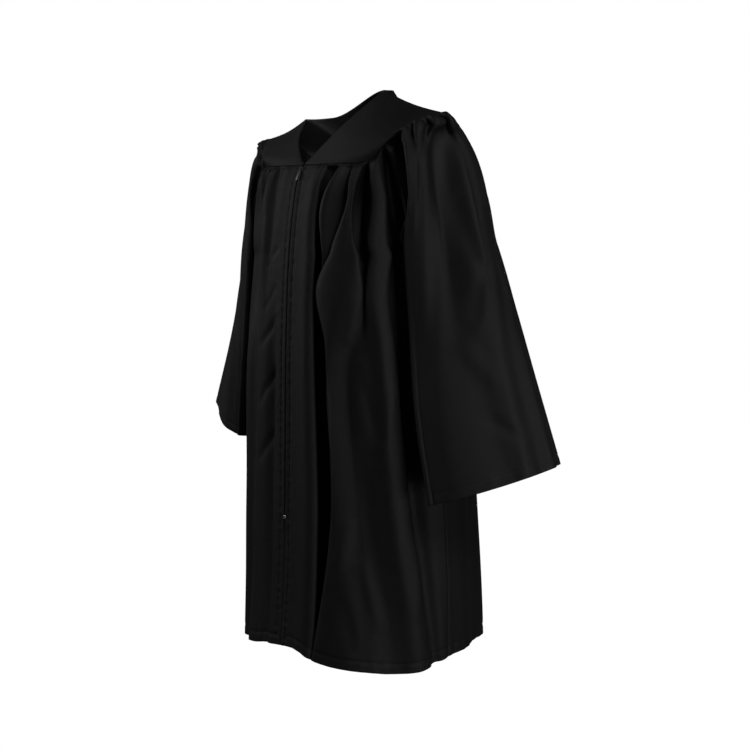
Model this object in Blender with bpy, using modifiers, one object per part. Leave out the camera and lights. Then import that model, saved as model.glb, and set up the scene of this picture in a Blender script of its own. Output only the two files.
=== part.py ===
"""A child's graduation gown in the shape it has when worn: one named solid for each sewn piece.

Metres, +Z up. The front faces -Y and the wearer's left side is +X. The origin is the middle of the
neck opening, level with the neck ends of the shoulder seams, where the wearer's shoulders carry it.
"""
import functools
import math

import bmesh
import bpy
import numpy as np

# Driving sizes of the gown
CLOTH = 0.0015
SEAM_GAP = 0.0004
SEAM_PULL = 0.0007
SLEEVE_PULL = 0.0017
CURL_PULL = 0.055
LEFT, RIGHT = 1, -1
FRONT_SEAM_Z = -0.090
BACK_SEAM_Z = -0.104
UNDERARM_Z = -0.222
NECK_HALF = 0.086
SHOULDER_HALF = 0.187
SHOULDER_Y = 0.015
SHOULDER_SAG = 0.004
BACK_NECK_Y = 0.052
BACK_NECK_RISE = 0.006

# Zip
ZIP_LENGTH = 0.508
ZIP_TOP_Z = -0.0935
ZIP_OPENING = 0.006
ZIP_TAPE = 0.0008
ZIP_TAPE_INNER = 0.0026
ZIP_TAPE_OUTER = 0.0150
ZIP_COIL_HALF = 0.0022
ZIP_COIL = 0.0020
SLIDER_HEIGHT = 0.0105
SLIDER_HALF = 0.0040
SLIDER_PLATE = 0.0011
SLIDER_POST_HALF = 0.0013
BAIL_HALF = 0.0010
BAIL_REACH = 0.0017
BAIL_WALL = 0.0007
BAIL_OPENING = 0.0016
PIN = 0.00045
HINGE_UP = 0.0012
TAB_LENGTH = 0.0185
TAB_HALF = 0.0024
TAB_WINDOW = 0.0026
TAB_ARM = 0.0010
STOP_HEIGHT = 0.005
STOP_HALF = 0.0018
TAPE_GAP = 0.0003
TAPE_END = 0.015
FIT = 0.0004

# The worn gown sits a little askew: heights of the neck end and the shoulder end of each shoulder
# seam and of the yoke's lower corners.
NECK_Z = {LEFT: 0.017, RIGHT: -0.017}
SHOULDER_Z = {LEFT: -0.019, RIGHT: -0.042}
FRONT_CORNER_Z = {LEFT: -0.062, RIGHT: -0.086}
BACK_CORNER_Z = {LEFT: -0.088, RIGHT: -0.090}

# Level sections of the body: height, half of the width, where the front, the back and the widest
# line lie, and the exponent of the superellipse.
BODY_COLUMNS = ("z", "half_width", "front_y", "back_y", "widest_y", "roundness")
BODY_SECTIONS = (
    (-0.060, 0.146, -0.066, 0.078, 0.010, 2.3),
    (-0.094, 0.152, -0.081, 0.090, 0.012, 2.3),
    (-0.114, 0.155, -0.090, 0.098, 0.014, 2.3),
    (-0.147, 0.160, -0.097, 0.108, 0.018, 2.3),
    (-0.231, 0.166, -0.107, 0.128, 0.024, 2.3),
    (-0.308, 0.170, -0.111, 0.142, 0.028, 2.4),
    (-0.488, 0.177, -0.114, 0.166, 0.033, 2.4),
    (-0.604, 0.181, -0.1155, 0.179, 0.035, 2.3),
    (-0.717, 0.181, -0.1195, 0.194, 0.040, 2.2),
    (-0.850, 0.180, -0.131, 0.208, 0.044, 2.1),
)

# Height of the hem on each side, over the share of the half girth from the zip to the middle of the
# back. The zip holds it up a little.
HEM_COLUMNS = ("share", "left_z", "right_z")
HEM_ROWS = (
    (0.00, -0.7920, -0.7920),
    (0.05, -0.7920, -0.7935),
    (0.08, -0.7955, -0.7950),
    (0.11, -0.8030, -0.7980),
    (0.16, -0.8095, -0.8005),
    (0.22, -0.8140, -0.8030),
    (0.28, -0.8175, -0.8040),
    (0.33, -0.8200, -0.8045),
    (0.38, -0.8190, -0.8045),
    (0.42, -0.8155, -0.8040),
    (0.46, -0.8090, -0.8025),
    (0.50, -0.8035, -0.8010),
    (0.60, -0.7960, -0.7965),
    (0.75, -0.7890, -0.7895),
    (1.00, -0.7850, -0.7850),
)

# Armhole and side seam on the body, as a share of the half girth from the zip to the middle of the
# back.
EDGE_COLUMNS = ("z", "front_share", "back_share")
PANEL_EDGES = (
    (-0.060, 0.363, 0.655),
    (-0.080, 0.375, 0.640),
    (-0.090, 0.380, 0.634),
    (-0.110, 0.391, 0.620),
    (-0.130, 0.404, 0.606),
    (-0.150, 0.418, 0.591),
    (-0.170, 0.435, 0.574),
    (-0.190, 0.456, 0.553),
    (-0.208, 0.479, 0.529),
    (-0.222, 0.504, 0.504),
    (-0.850, 0.504, 0.504),
)

# Edge of the yoke over the arm, from its front corner and from its back corner to the shoulder seam,
# with x measured towards the arm. The yoke's front comes higher over the wearer's left arm.
YOKE_EDGE_FRONT = {
    LEFT: ((0.139, -0.0385, -0.0545), (0.155, -0.034, -0.043), (0.173, -0.014, -0.029)),
    RIGHT: ((0.139, -0.040, -0.0765), (0.151, -0.030, -0.063), (0.168, -0.012, -0.051)),
}
YOKE_EDGE_BACK = {
    LEFT: ((0.150, 0.060, -0.060), (0.165, 0.047, -0.040), (0.178, 0.032, -0.028)),
    RIGHT: ((0.150, 0.060, -0.066), (0.165, 0.047, -0.0515), (0.178, 0.032, -0.045)),
}

# How far each sleeve stands out from the armhole before it falls, and how steeply it starts down, at
# turns round the armhole. It is fuller over the back of the shoulder, and under the yoke's front edge
# it hangs straight down from the seam, where the seam curls most.
STAND_WAY = 0.04
STAND_COLUMNS = ("turn", "reach", "down", "curl")
STAND_ROWS = (
    (0.00, 0.018, 0.45, 0),
    (0.10, 0.009, 0.55, 1.0),
    (0.15, 0.010, 1.05, 1.9),
    (0.21, 0.011, 1.10, 1.4),
    (0.25, 0.0115, 0.60, 0.3),
    (0.30, 0.0115, 0.28, 0),
    (0.50, 0.014, 0.15, 0),
    (0.75, 0.014, 0.30, 0),
    (0.90, 0.020, 0.42, 0),
    (1.00, 0.018, 0.45, 0),
)

# Sleeve rings on the wearer's left: share of the way from armhole to cuff, middle of the ring, half
# of its long and its short axis, how far the long axis turns outwards at the back, how far the ring
# leans from upright to level, how much its back end rises for each metre, how much flatter it is on
# the side of the body, and the power that squares its corners.
RING_COLUMNS = ("way", "x", "y", "z", "long", "short", "turn", "lean", "rise", "inner", "square")
SLEEVE_RINGS = (
    (0.12, 0.190, 0.011, -0.138, 0.060, 0.086, 15, 4, 0.00, 1.0, 0.8),
    (0.28, 0.205, 0.017, -0.215, 0.066, 0.040, 38, 55, 0.10, 0.7, 0.9),
    (0.50, 0.225, 0.022, -0.317, 0.076, 0.038, 42, 76, 0.20, 0.5, 1.0),
    (0.75, 0.250, 0.0235, -0.427, 0.086, 0.038, 42, 86, 0.27, 0.5, 1.0),
    (1.00, 0.281, 0.027, -0.541, 0.092, 0.038, 42, 90, 0.31, 0.6, 1.0),
)

# The wearer's right arm is carried a little higher and turned outwards: a row for each ring
SHIFT_COLUMNS = ("way", "x", "y", "z", "turn")
RIGHT_SHIFTS = (
    (0.12, -0.008, 0.009, 0.001, 0),
    (0.28, 0.000, 0.005, 0.014, 0),
    (0.50, 0.005, 0.005, 0.029, 3),
    (0.75, 0.009, 0.008, 0.043, 10),
    (1.00, 0.012, 0.010, 0.058, 17),
)

# Folds: a row for each crest and each hollow across a panel. Its place is a share of the panel's
# width at six ways from seam to hem, and its relief in millimetres stands out of the plain form.
FOLD_COLUMNS = ("place_seam", "place_yoke", "place_chest", "place_waist", "place_knee", "place_hem",
                "out_seam", "out_yoke", "out_chest", "out_waist", "out_knee", "out_hem")
FOLD_WAYS = (0.0, 0.07, 0.16, 0.36, 0.66, 1.0)
FRONT_LEFT_FOLDS = (
    (0.00, 0.00, 0.00, 0.00, 0.00, 0.00, 0, 0, 0, 0, 0, 0),
    (0.10, 0.11, 0.09, 0.08, 0.09, 0.10, 1, 1, 1, 1, 1, 1),
    (0.20, 0.21, 0.18, 0.15, 0.17, 0.19, 3, 4, 4, 4, 4, 3),
    (0.28, 0.27, 0.225, 0.19, 0.21, 0.22, -7, -15, -19, -19, -17, -8),
    (0.48, 0.40, 0.30, 0.26, 0.28, 0.28, 5, 7, 6, 4, 4, 4),
    (0.59, 0.49, 0.37, 0.32, 0.34, 0.38, -5, -6, -1, 2, 0, -6),
    (0.68, 0.58, 0.46, 0.39, 0.40, 0.51, 6, 8, 7, 6, 5, 7),
    (0.77, 0.69, 0.59, 0.47, 0.48, 0.63, -8, -13, -11, -3, -5, -6),
    (0.86, 0.80, 0.70, 0.57, 0.59, 0.75, 6, 8, 7, 6, 6, 7),
    (0.92, 0.88, 0.80, 0.70, 0.72, 0.83, -3, -5, -5, -6, -4, -5),
    (0.96, 0.94, 0.90, 0.86, 0.86, 0.91, -1, -2, -3, -1, 4, 6),
    (1.00, 1.00, 1.00, 1.00, 1.00, 1.00, 0, 0, 0, 0, 0, 0),
)
FRONT_RIGHT_FOLDS = (
    (0.00, 0.00, 0.00, 0.00, 0.00, 0.00, 0, 0, 0, 0, 0, 0),
    (0.10, 0.10, 0.09, 0.08, 0.09, 0.10, 1, 1, 1, 1, 1, 1),
    (0.20, 0.19, 0.17, 0.15, 0.16, 0.17, 3, 3, 3, 3, 3, 3),
    (0.32, 0.29, 0.23, 0.20, 0.21, 0.23, -4, -5, -4, -3, -3, -3),
    (0.46, 0.42, 0.31, 0.26, 0.27, 0.31, 5, 6, 5, 4, 4, 5),
    (0.59, 0.55, 0.42, 0.35, 0.35, 0.42, -5, -6, -5, -4, -3, -5),
    (0.70, 0.66, 0.54, 0.45, 0.45, 0.53, 5, 6, 5, 5, 4, 6),
    (0.79, 0.76, 0.64, 0.55, 0.56, 0.64, -6, -7, -6, -4, -4, -5),
    (0.87, 0.84, 0.75, 0.67, 0.68, 0.75, 5, 6, 6, 5, 5, 7),
    (0.94, 0.92, 0.87, 0.82, 0.83, 0.87, -2, -3, -4, -5, -4, -5),
    (1.00, 1.00, 1.00, 1.00, 1.00, 1.00, 0, 0, 0, 0, 0, 0),
)

# Gathers of the back panel: how many, and at the six ways the relief in millimetres of the gathers
# and of the broad folds they join into
BACK_GATHERS = 22
BACK_GATHER = (2.6, 2.6, 1.8, 0.8, 0.0, 0.0)
BACK_FOLD = (0.0, 1.0, 2.0, 4.0, 5.0, 6.0)

# Folds of a sleeve: a row for each crest and hollow, its turn round the sleeve from the shoulder
# seam towards the front, and its relief in millimetres, at four ways from armhole to cuff
SLEEVE_FOLD_COLUMNS = ("turn_cap", "turn_upper", "turn_lower", "turn_cuff",
                       "out_cap", "out_upper", "out_lower", "out_cuff")
SLEEVE_FOLD_WAYS = (0.06, 0.30, 0.65, 1.0)
SLEEVE_FOLDS = (
    (0.000, 0.000, 0.000, 0.000, 7, 2, 1, 1),
    (0.030, 0.040, 0.040, 0.040, -4, -3, -3, -3),
    (0.065, 0.080, 0.085, 0.090, 4, 4, 3, 3),
    (0.100, 0.130, 0.140, 0.140, -4, -3, -2, -2),
    (0.140, 0.180, 0.190, 0.190, 3, 3, 3, 2),
    (0.185, 0.210, 0.215, 0.220, -3, -1, -1, -1),
    (0.235, 0.250, 0.255, 0.260, 3, 4, 4, 4),
    (0.310, 0.320, 0.320, 0.330, -4, -5, -6, -4),
    (0.400, 0.410, 0.410, 0.410, -2, 0, 0, 1),
    (0.500, 0.500, 0.490, 0.480, 0, 0, -1, -2),
    (0.620, 0.600, 0.590, 0.580, -2, -2, 0, 1),
    (0.700, 0.680, 0.670, 0.670, -4, -4, -3, -2),
    (0.770, 0.750, 0.740, 0.740, 2, 3, 3, 3),
    (0.810, 0.800, 0.790, 0.790, -3, -2, -2, -2),
    (0.845, 0.840, 0.830, 0.830, 5, 3, 3, 3),
    (0.880, 0.875, 0.870, 0.870, 0, -3, -3, -3),
    (0.915, 0.915, 0.915, 0.915, 8, 5, 4, 3),
    (0.957, 0.957, 0.960, 0.960, 2, -3, -3, -2),
    (1.000, 1.000, 1.000, 1.000, 7, 2, 1, 1),
)

# How far the yokes reach: as shares from shoulder to lower seam, from the neckline to the arm, and
# from arm to arm, so that they stay clear of what they are sewn to
YOKE_TRIM_DOWN = (0.005, 0.991)
YOKE_TRIM_FRONT = (0.0, 0.996)
YOKE_TRIM_BACK = (0.0012, 0.9988)

# Rows of each wall, as ways from its seam to its hem
FRONT_WAYS = (0.0, 0.012, 0.03, 0.065, 0.105, 0.16, 0.25, 0.36, 0.48, 0.61, 0.733, 0.763, 0.88, 1.0)
BACK_WAYS = (0.0, 0.012, 0.03, 0.065, 0.105, 0.16, 0.25, 0.36, 0.48, 0.61, 0.74, 0.87, 1.0)
SLEEVE_WAYS = (0.0, 0.018, 0.045, 0.08, 0.12, 0.17, 0.225, 0.28, 0.38, 0.5, 0.62, 0.75, 0.88, 1.0)


def column(table, names, name):
    return np.array([row[names.index(name)] for row in table], float)


@functools.lru_cache(maxsize=None)
def knots(table, names, key, wanted):
    """Column `wanted` of a table as a smooth curve over its column `key`: xs, ys and slopes."""
    xs = column(table, names, key)
    ys = column(table, names, wanted)
    if xs[0] > xs[-1]:
        xs = xs[::-1]
        ys = ys[::-1]
    return xs, ys, np.gradient(ys, xs)


def hermite(xs, ys, slopes, x):
    x = min(max(x, xs[0]), xs[-1])
    i = min(max(int(np.searchsorted(xs, x)) - 1, 0), len(xs) - 2)
    h = xs[i + 1] - xs[i]
    p = (x - xs[i]) / h
    start = (1 + 2 * p) * (1 - p) ** 2 * ys[i] + p * (1 - p) ** 2 * h * slopes[i]
    end = p * p * (3 - 2 * p) * ys[i + 1] + p * p * (p - 1) * h * slopes[i + 1]
    return start + end


def fade(p):
    """Rises smoothly from 0 at p = 0 to 1 at p = 1."""
    p = min(1.0, max(0.0, p))
    return p * p * (3 - 2 * p)


def section_value(name, z):
    return float(hermite(*knots(BODY_SECTIONS, BODY_COLUMNS, "z", name), z))


def edge_share(name, z):
    """Share of the half girth at which a panel ends at this height."""
    xs, ys, _ = knots(PANEL_EDGES, EDGE_COLUMNS, "z", name)
    return float(np.interp(z, xs, ys))


@functools.lru_cache(maxsize=None)
def half_section(z):
    """Points of a level section from the zip to the middle of the back, with their run."""
    angle = np.linspace(0, math.pi, 121)
    power = 2 / section_value("roundness", z)
    widest = section_value("widest_y", z)
    x = section_value("half_width", z) * np.abs(np.sin(angle)) ** power
    ends = np.where(angle < math.pi / 2, section_value("front_y", z), section_value("back_y", z))
    reach = ends - widest
    y = widest + reach * np.abs(np.cos(angle)) ** power
    x[0] = 0.0
    x[-1] = 0.0
    run = np.concatenate([[0], np.cumsum(np.hypot(np.diff(x), np.diff(y)))])
    return x, y, run


def half_girth(z):
    return float(half_section(round(z, 4))[2][-1])


def body_point(run, z, out=0.0):
    """Point on the wearer's left at this run from the zip, moved out of the cloth's face."""
    x, y, runs = half_section(round(z, 4))
    before = max(run - 0.004, 0.0)
    after = min(run + 0.004, runs[-1])
    dx = np.interp(after, runs, x) - np.interp(before, runs, x)
    dy = np.interp(after, runs, y) - np.interp(before, runs, y)
    length = math.hypot(dx, dy)
    here_x = np.interp(run, runs, x) + out * dy / length
    here_y = np.interp(run, runs, y) - out * dx / length
    return np.array([here_x, here_y, z])


def mirrored(point, side):
    return np.array([side * point[0], point[1], point[2]])


def fold_value(table, names, first, ways, way, place):
    """Smooth value of a fold's columns (starting with name `first`) at this way down the cloth.
    `place` is a row number with a fraction: between two rows the value passes smoothly over."""
    i = min(int(place), len(table) - 2)
    at = names.index(first)
    xs = np.array(ways, float)
    values = []
    for row in (table[i], table[i + 1]):
        ys = np.array(row[at:at + len(ways)], float)
        values.append(hermite(xs, ys, np.gradient(ys, xs), way))
    return values, place - i


def fold_place(table, names, first, ways, way, place):
    (a, b), p = fold_value(table, names, first, ways, way, place)
    return a + (b - a) * p


def fold_out(table, names, first, ways, way, place):
    (a, b), p = fold_value(table, names, first, ways, way, place)
    return (a + (b - a) * fade(p)) / 1000


def front_rise(share):
    """How far the seam under the front yoke has turned up, from level (0) to the yoke's corner (1)."""
    return min(max((share - 0.68) / 0.32, 0.0), 1.0)


def curl_pull(side, curl):
    """How much more gap a seam has where it curls round a high corner of the yoke."""
    return CURL_PULL * curl * (FRONT_CORNER_Z[side] - FRONT_SEAM_Z)


def front_seam_z(side, share):
    """Height of the seam under the front yoke, from the zip (0) to the yoke's corner (1)."""
    return FRONT_SEAM_Z + (FRONT_CORNER_Z[side] - FRONT_SEAM_Z) * front_rise(share) ** 2


def back_seam_z(side, share):
    """Height of the seam under the back yoke, from its corner (0) to the middle of the back (1)."""
    middle = BACK_SEAM_Z
    return middle + (BACK_CORNER_Z[side] - middle) * fade((0.5 - share) / 0.5)


def hem_z(side, share):
    """Height of the hem, from the zip (0) to the middle of the back (1)."""
    name = "left_z" if side == LEFT else "right_z"
    return float(hermite(*knots(HEM_ROWS, HEM_COLUMNS, "share", name), share))


def front_start(z):
    """Half of the gap between the front panels: open at the zip, closed to a seam below it."""
    below = ZIP_TOP_Z - ZIP_LENGTH - STOP_HEIGHT - z
    return SEAM_GAP / 2 + (ZIP_OPENING - SEAM_GAP) / 2 * (1 - fade(below / 0.02))


def gather_rise(fall):
    """The folds start flat at the seam and reach their full relief this far below it."""
    return fade(fall / 0.022)


def front_point(side, place, way, rim=0.0):
    """Point of a front panel: fold row with fraction across it, way from seam to hem."""
    table = FRONT_LEFT_FOLDS if side == LEFT else FRONT_RIGHT_FOLDS
    share = fold_place(table, FOLD_COLUMNS, "place_seam", FOLD_WAYS, way, place)
    out = fold_out(table, FOLD_COLUMNS, "out_seam", FOLD_WAYS, way, place)
    top = front_seam_z(side, share)
    bottom = hem_z(side, share * 0.5)
    z = top - SEAM_PULL - curl_pull(side, front_rise(share)) + (bottom - top) * way
    end = edge_share("front_share", z) * half_girth(z) - SEAM_GAP / 2
    start = front_start(z)
    run = start + share * (end - start)
    return mirrored(body_point(run, z, out * gather_rise(top - z)), side)


def back_folds():
    """Fold rows of the back panel: many small gathers under the yoke that join into broad folds."""
    rows = []
    count = 2 * BACK_GATHERS
    for i in range(count + 1):
        even = i / count
        inside = 0 < i < count
        crest = (1 if i % 2 else -1) * inside
        stray = 0.35 / count * math.sin(2.4 * i) * inside
        wave = 1.5 * math.sin(math.pi * even * 13 + 0.6) * math.sin(math.pi * even)
        places = [even + stray, even + stray, even + stray * 0.5, even, even, even]
        outs = [crest * BACK_GATHER[k] + wave * BACK_FOLD[k] for k in range(len(FOLD_WAYS))]
        rows.append(tuple(places + outs))
    return tuple(rows)


BACK_FOLDS = back_folds()


def back_point(place, way):
    """Point of the back panel: from the side seam on the wearer's right to the one on the left."""
    share = fold_place(BACK_FOLDS, FOLD_COLUMNS, "place_seam", FOLD_WAYS, way, place)
    out = fold_out(BACK_FOLDS, FOLD_COLUMNS, "out_seam", FOLD_WAYS, way, place)
    side = LEFT if share > 0.5 else RIGHT
    inner = 1 - abs(2 * share - 1)
    top = back_seam_z(side, inner)
    bottom = hem_z(side, 0.5 + inner / 2)
    z = top - SEAM_PULL + (bottom - top) * way
    start = edge_share("back_share", z) * half_girth(z) + SEAM_GAP / 2
    run = start + inner * (half_girth(z) - start)
    return mirrored(body_point(run, z, out * gather_rise(top - z)), side)


def along_points(points, share):
    """Point at this share of the length of a smooth curve through the points."""
    pts = np.array(points, float)
    chord = np.concatenate([[0], np.cumsum(np.linalg.norm(np.diff(pts, axis=0), axis=1))])
    slopes = np.gradient(pts, chord, axis=0)
    return hermite(chord, pts, slopes, share * chord[-1])


def corner_point(side, name, z):
    return mirrored(body_point(edge_share(name, z) * half_girth(z), z), side)


def shoulder_end(side):
    return np.array([side * SHOULDER_HALF, SHOULDER_Y, SHOULDER_Z[side]])


def neck_end(side):
    return np.array([side * NECK_HALF, 0.0, NECK_Z[side]])


def yoke_edge(side, table, corner):
    return [corner] + [mirrored(point, side) for point in table[side]] + [shoulder_end(side)]


def front_edge(side):
    return yoke_edge(side, YOKE_EDGE_FRONT, corner_point(side, "front_share", FRONT_CORNER_Z[side]))


def back_edge(side):
    return yoke_edge(side, YOKE_EDGE_BACK, corner_point(side, "back_share", BACK_CORNER_Z[side]))


def armhole_point(side, turn):
    """Point of the armhole: from the shoulder seam (0) down its front to the underarm (0.5) and up
    its back (1)."""
    if turn <= 0.5:
        edge, name, top = front_edge(side)[::-1], "front_share", FRONT_CORNER_Z[side]
        share = turn * 2
    else:
        edge, name, top = back_edge(side)[::-1], "back_share", BACK_CORNER_Z[side]
        share = (1 - turn) * 2
    if share < 0.42:
        return along_points(edge, share / 0.42)
    z = top + (UNDERARM_Z - top) * (share - 0.42) / 0.58
    return corner_point(side, name, z)


def ring_point(side, row, turn):
    """Point of a plain sleeve ring of the table."""
    values = dict(zip(RING_COLUMNS, row))
    moved = dict.fromkeys(SHIFT_COLUMNS, 0.0)
    if side == RIGHT:
        moved = dict(zip(SHIFT_COLUMNS, RIGHT_SHIFTS[SLEEVE_RINGS.index(row)]))
    angle = 2 * math.pi * turn
    yaw = math.radians(values["turn"] + moved["turn"])
    lean = math.radians(values["lean"])
    front = np.array([-math.sin(yaw), -math.cos(yaw), -values["rise"]])
    outer = np.array([math.cos(yaw) * math.sin(lean), -math.sin(yaw) * math.sin(lean), math.cos(lean)])
    middle = np.array([values[name] + moved[name] for name in ("x", "y", "z")])
    across = math.copysign(abs(math.cos(angle)) ** values["square"], math.cos(angle)) * values["short"]
    if across < 0:
        across = across * values["inner"]
    ahead = math.copysign(abs(math.sin(angle)) ** values["square"], math.sin(angle)) * values["long"]
    point = middle + outer * across + front * ahead
    return mirrored(point, side)


def stand_value(name, turn):
    turns = column(STAND_ROWS, STAND_COLUMNS, "turn")
    return np.interp(turn, turns, column(STAND_ROWS, STAND_COLUMNS, name))


def stand_point(side, turn):
    """Where the sleeve stands clear of the armhole, before it falls."""
    away = np.array([0.85, -0.5 * math.sin(2 * math.pi * turn), -stand_value("down", turn)])
    reach = away / np.linalg.norm(away) * stand_value("reach", turn)
    return armhole_point(side, turn) + mirrored(reach, side)


@functools.lru_cache(maxsize=None)
def sleeve_line(side, turn):
    """Armhole, stand and rings at this turn of the sleeve, as a smooth curve over the way down it."""
    ways = np.array([0.0, STAND_WAY] + [row[0] for row in SLEEVE_RINGS])
    rings = [ring_point(side, row, turn) for row in SLEEVE_RINGS]
    points = np.array([armhole_point(side, turn), stand_point(side, turn)] + rings)
    return ways, points, np.gradient(points, ways, axis=0)


def plain_sleeve(side, turn, way):
    ways, points, slopes = sleeve_line(side, round(turn % 1.0, 5))
    return hermite(ways, points, slopes, way)


def sleeve_point(side, place, way):
    """Point of a sleeve: fold row with fraction round it, way from armhole to cuff."""
    turn = fold_place(SLEEVE_FOLDS, SLEEVE_FOLD_COLUMNS, "turn_cap", SLEEVE_FOLD_WAYS, way, place)
    pull = SLEEVE_PULL + curl_pull(side, stand_value("curl", turn))
    start = STAND_WAY * pull / stand_value("reach", turn)
    way = start + (1 - start) * way
    out = fold_out(SLEEVE_FOLDS, SLEEVE_FOLD_COLUMNS, "out_cap", SLEEVE_FOLD_WAYS, way, place)
    here = plain_sleeve(side, turn, way)
    around = plain_sleeve(side, turn + 0.01, way) - plain_sleeve(side, turn - 0.01, way)
    below = plain_sleeve(side, turn, min(way + 0.01, 1.0))
    down = below - plain_sleeve(side, turn, max(way - 0.01, 0.0))
    face = np.cross(around, down) * side
    face = face / np.linalg.norm(face)
    return here + face * out * fade(way / 0.05)


def patch_point(low, high, start, end, u, v):
    """Point of the surface spanned by four border curves: low and high run with u at v = 0 and 1,
    start and end run with v at u = 0 and 1."""
    ruled_v = (1 - v) * low(u) + v * high(u)
    ruled_u = (1 - u) * start(v) + u * end(v)
    corners = ((1 - u) * (1 - v) * low(0.0) + u * (1 - v) * low(1.0)
               + (1 - u) * v * high(0.0) + u * v * high(1.0))
    return ruled_v + ruled_u - corners


def yoke_front_point(side, u, v):
    """Point of a front yoke: u from the neckline to the arm, v from the shoulder to the lower seam."""
    def seam(u):
        z = front_seam_z(side, u)
        end = edge_share("front_share", z) * half_girth(z)
        run = ZIP_OPENING / 2 + u * (end - ZIP_OPENING / 2)
        return mirrored(body_point(run, z), side)

    def shoulder(u):
        line = neck_end(side) + (shoulder_end(side) - neck_end(side)) * u
        return line + np.array([0, 0, -SHOULDER_SAG]) * math.sin(math.pi * u)

    def neckline(v):
        middle = (neck_end(side) + seam(0.0)) / 2 + np.array([side * 0.004, -0.008, 0.001])
        return along_points([neck_end(side), middle, seam(0.0)], v)

    def arm(v):
        return along_points(front_edge(side)[::-1], v)

    return patch_point(shoulder, seam, neckline, arm, u, v)


def yoke_back_point(u, v):
    """Point of the back yoke: u from the wearer's right arm to the left, v from top to lower seam."""
    neck_share = 0.5 - 0.5 * NECK_HALF / SHOULDER_HALF

    def top(u):
        side = LEFT if u > 0.5 else RIGHT
        inner = min(u, 1 - u)
        if inner < neck_share:
            p = inner / neck_share
            line = shoulder_end(side) + (neck_end(side) - shoulder_end(side)) * p
            return line + np.array([0, 0, -SHOULDER_SAG]) * math.sin(math.pi * p)
        turn = math.pi * (u - neck_share) / (1 - 2 * neck_share)
        middle_z = NECK_Z[RIGHT] + (NECK_Z[LEFT] - NECK_Z[RIGHT]) * fade((turn - 0.7) / 1.3)
        return np.array([-NECK_HALF * math.cos(turn), BACK_NECK_Y * math.sin(turn) ** 0.8,
                         middle_z + BACK_NECK_RISE * math.sin(turn) ** 2])

    def seam(u):
        side = LEFT if u > 0.5 else RIGHT
        inner = 1 - abs(2 * u - 1)
        z = back_seam_z(side, inner)
        start = edge_share("back_share", z) * half_girth(z)
        return mirrored(body_point(start + inner * (half_girth(z) - start), z), side)

    def right_arm(v):
        return along_points(back_edge(RIGHT)[::-1], v)

    def left_arm(v):
        return along_points(back_edge(LEFT)[::-1], v)

    return patch_point(top, seam, right_arm, left_arm, u, v)


def make_material(name, color, metallic, roughness):
    material = bpy.data.materials.new(name)
    material.use_nodes = True
    node = material.node_tree.nodes["Principled BSDF"]
    node.inputs["Base Color"].default_value = (*color, 1)
    node.inputs["Metallic"].default_value = metallic
    node.inputs["Roughness"].default_value = roughness
    return material


def finish(name, bm, material):
    mesh = bpy.data.meshes.new(name)
    bm.to_mesh(mesh)
    bm.free()
    mesh.materials.append(material)
    body = bpy.data.objects.new(name, mesh)
    bpy.context.scene.collection.objects.link(body)
    return body


def cloth_body(name, point, places, ways, material, thickness=CLOTH, closed=False):
    """A wall of cloth round the surface point(place, way)."""
    bm = bmesh.new()
    rows = []
    for way in ways:
        rows.append([bm.verts.new(point(place, way)) for place in places])
    count = len(places)
    for upper, lower in zip(rows, rows[1:]):
        for i in range(count if closed else count - 1):
            j = (i + 1) % count
            bm.faces.new((upper[i], lower[i], lower[j], upper[j]))
    body = finish(name, bm, material)
    wall = body.modifiers.new("wall", "SOLIDIFY")
    wall.thickness = thickness
    wall.offset = 0
    wall.use_even_offset = False
    return body


def shares(count, start=0.0, end=1.0):
    return [start + (end - start) * i / count for i in range(count + 1)]


def box_body(name, place, low, high, material):
    """A box between two corners given as (x, down, out), set into the zip's own directions."""
    bm = bmesh.new()
    corners = []
    for x in (low[0], high[0]):
        for down in (low[1], high[1]):
            for out in (low[2], high[2]):
                corners.append(bm.verts.new(place(x, down, out)))
    sides = ((0, 1, 3, 2), (4, 6, 7, 5), (0, 4, 5, 1), (2, 3, 7, 6), (0, 2, 6, 4), (1, 5, 7, 3))
    for a, b, c, d in sides:
        bm.faces.new((corners[a], corners[b], corners[c], corners[d]))
    bmesh.ops.recalc_face_normals(bm, faces=bm.faces)
    return finish(name, bm, material)


def frame_body(name, place, xs, downs, out, material):
    """A flat tab with a window: the cells of a grid, without the one in the middle of the second row."""
    bm = bmesh.new()
    rows = [[bm.verts.new(place(x, down, out)) for x in xs] for down in downs]
    for r in range(3):
        for i in range(3):
            if (r, i) != (1, 1):
                bm.faces.new((rows[r][i], rows[r + 1][i], rows[r + 1][i + 1], rows[r][i + 1]))
    body = finish(name, bm, material)
    wall = body.modifiers.new("wall", "SOLIDIFY")
    wall.thickness = 2 * PIN
    wall.offset = 0
    return body


def join(body, others):
    """Unites the others with the body through Boolean modifiers and keeps them out of the scene."""
    for i, other in enumerate(others):
        union = body.modifiers.new(f"join_{i}", "BOOLEAN")
        union.operation = "UNION"
        union.solver = "EXACT"
        union.object = other
    view = bpy.context.evaluated_depsgraph_get()
    mesh = bpy.data.meshes.new_from_object(body.evaluated_get(view))
    body.modifiers.clear()
    body.data = mesh
    for other in others:
        bpy.data.objects.remove(other)
    return body


def zip_frame(z):
    """Places (x, down, out) by the slope of the front at this height of the zip line."""
    slope = (section_value("front_y", z - 0.004) - section_value("front_y", z + 0.004)) / 0.008
    length = math.hypot(slope, 1)
    down = np.array([0, slope, -1]) / length
    out = np.array([0, -1, -slope]) / length
    middle = np.array([0, section_value("front_y", z), z])

    def place(x, along, away):
        return middle + np.array([x, 0, 0]) + down * along + out * away
    return place


def zip_line_z(way):
    """Height at this way down the front panels' edges."""
    return front_seam_z(LEFT, 0.0) - SEAM_PULL + (hem_z(LEFT, 0.0) - front_seam_z(LEFT, 0.0)) * way


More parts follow.
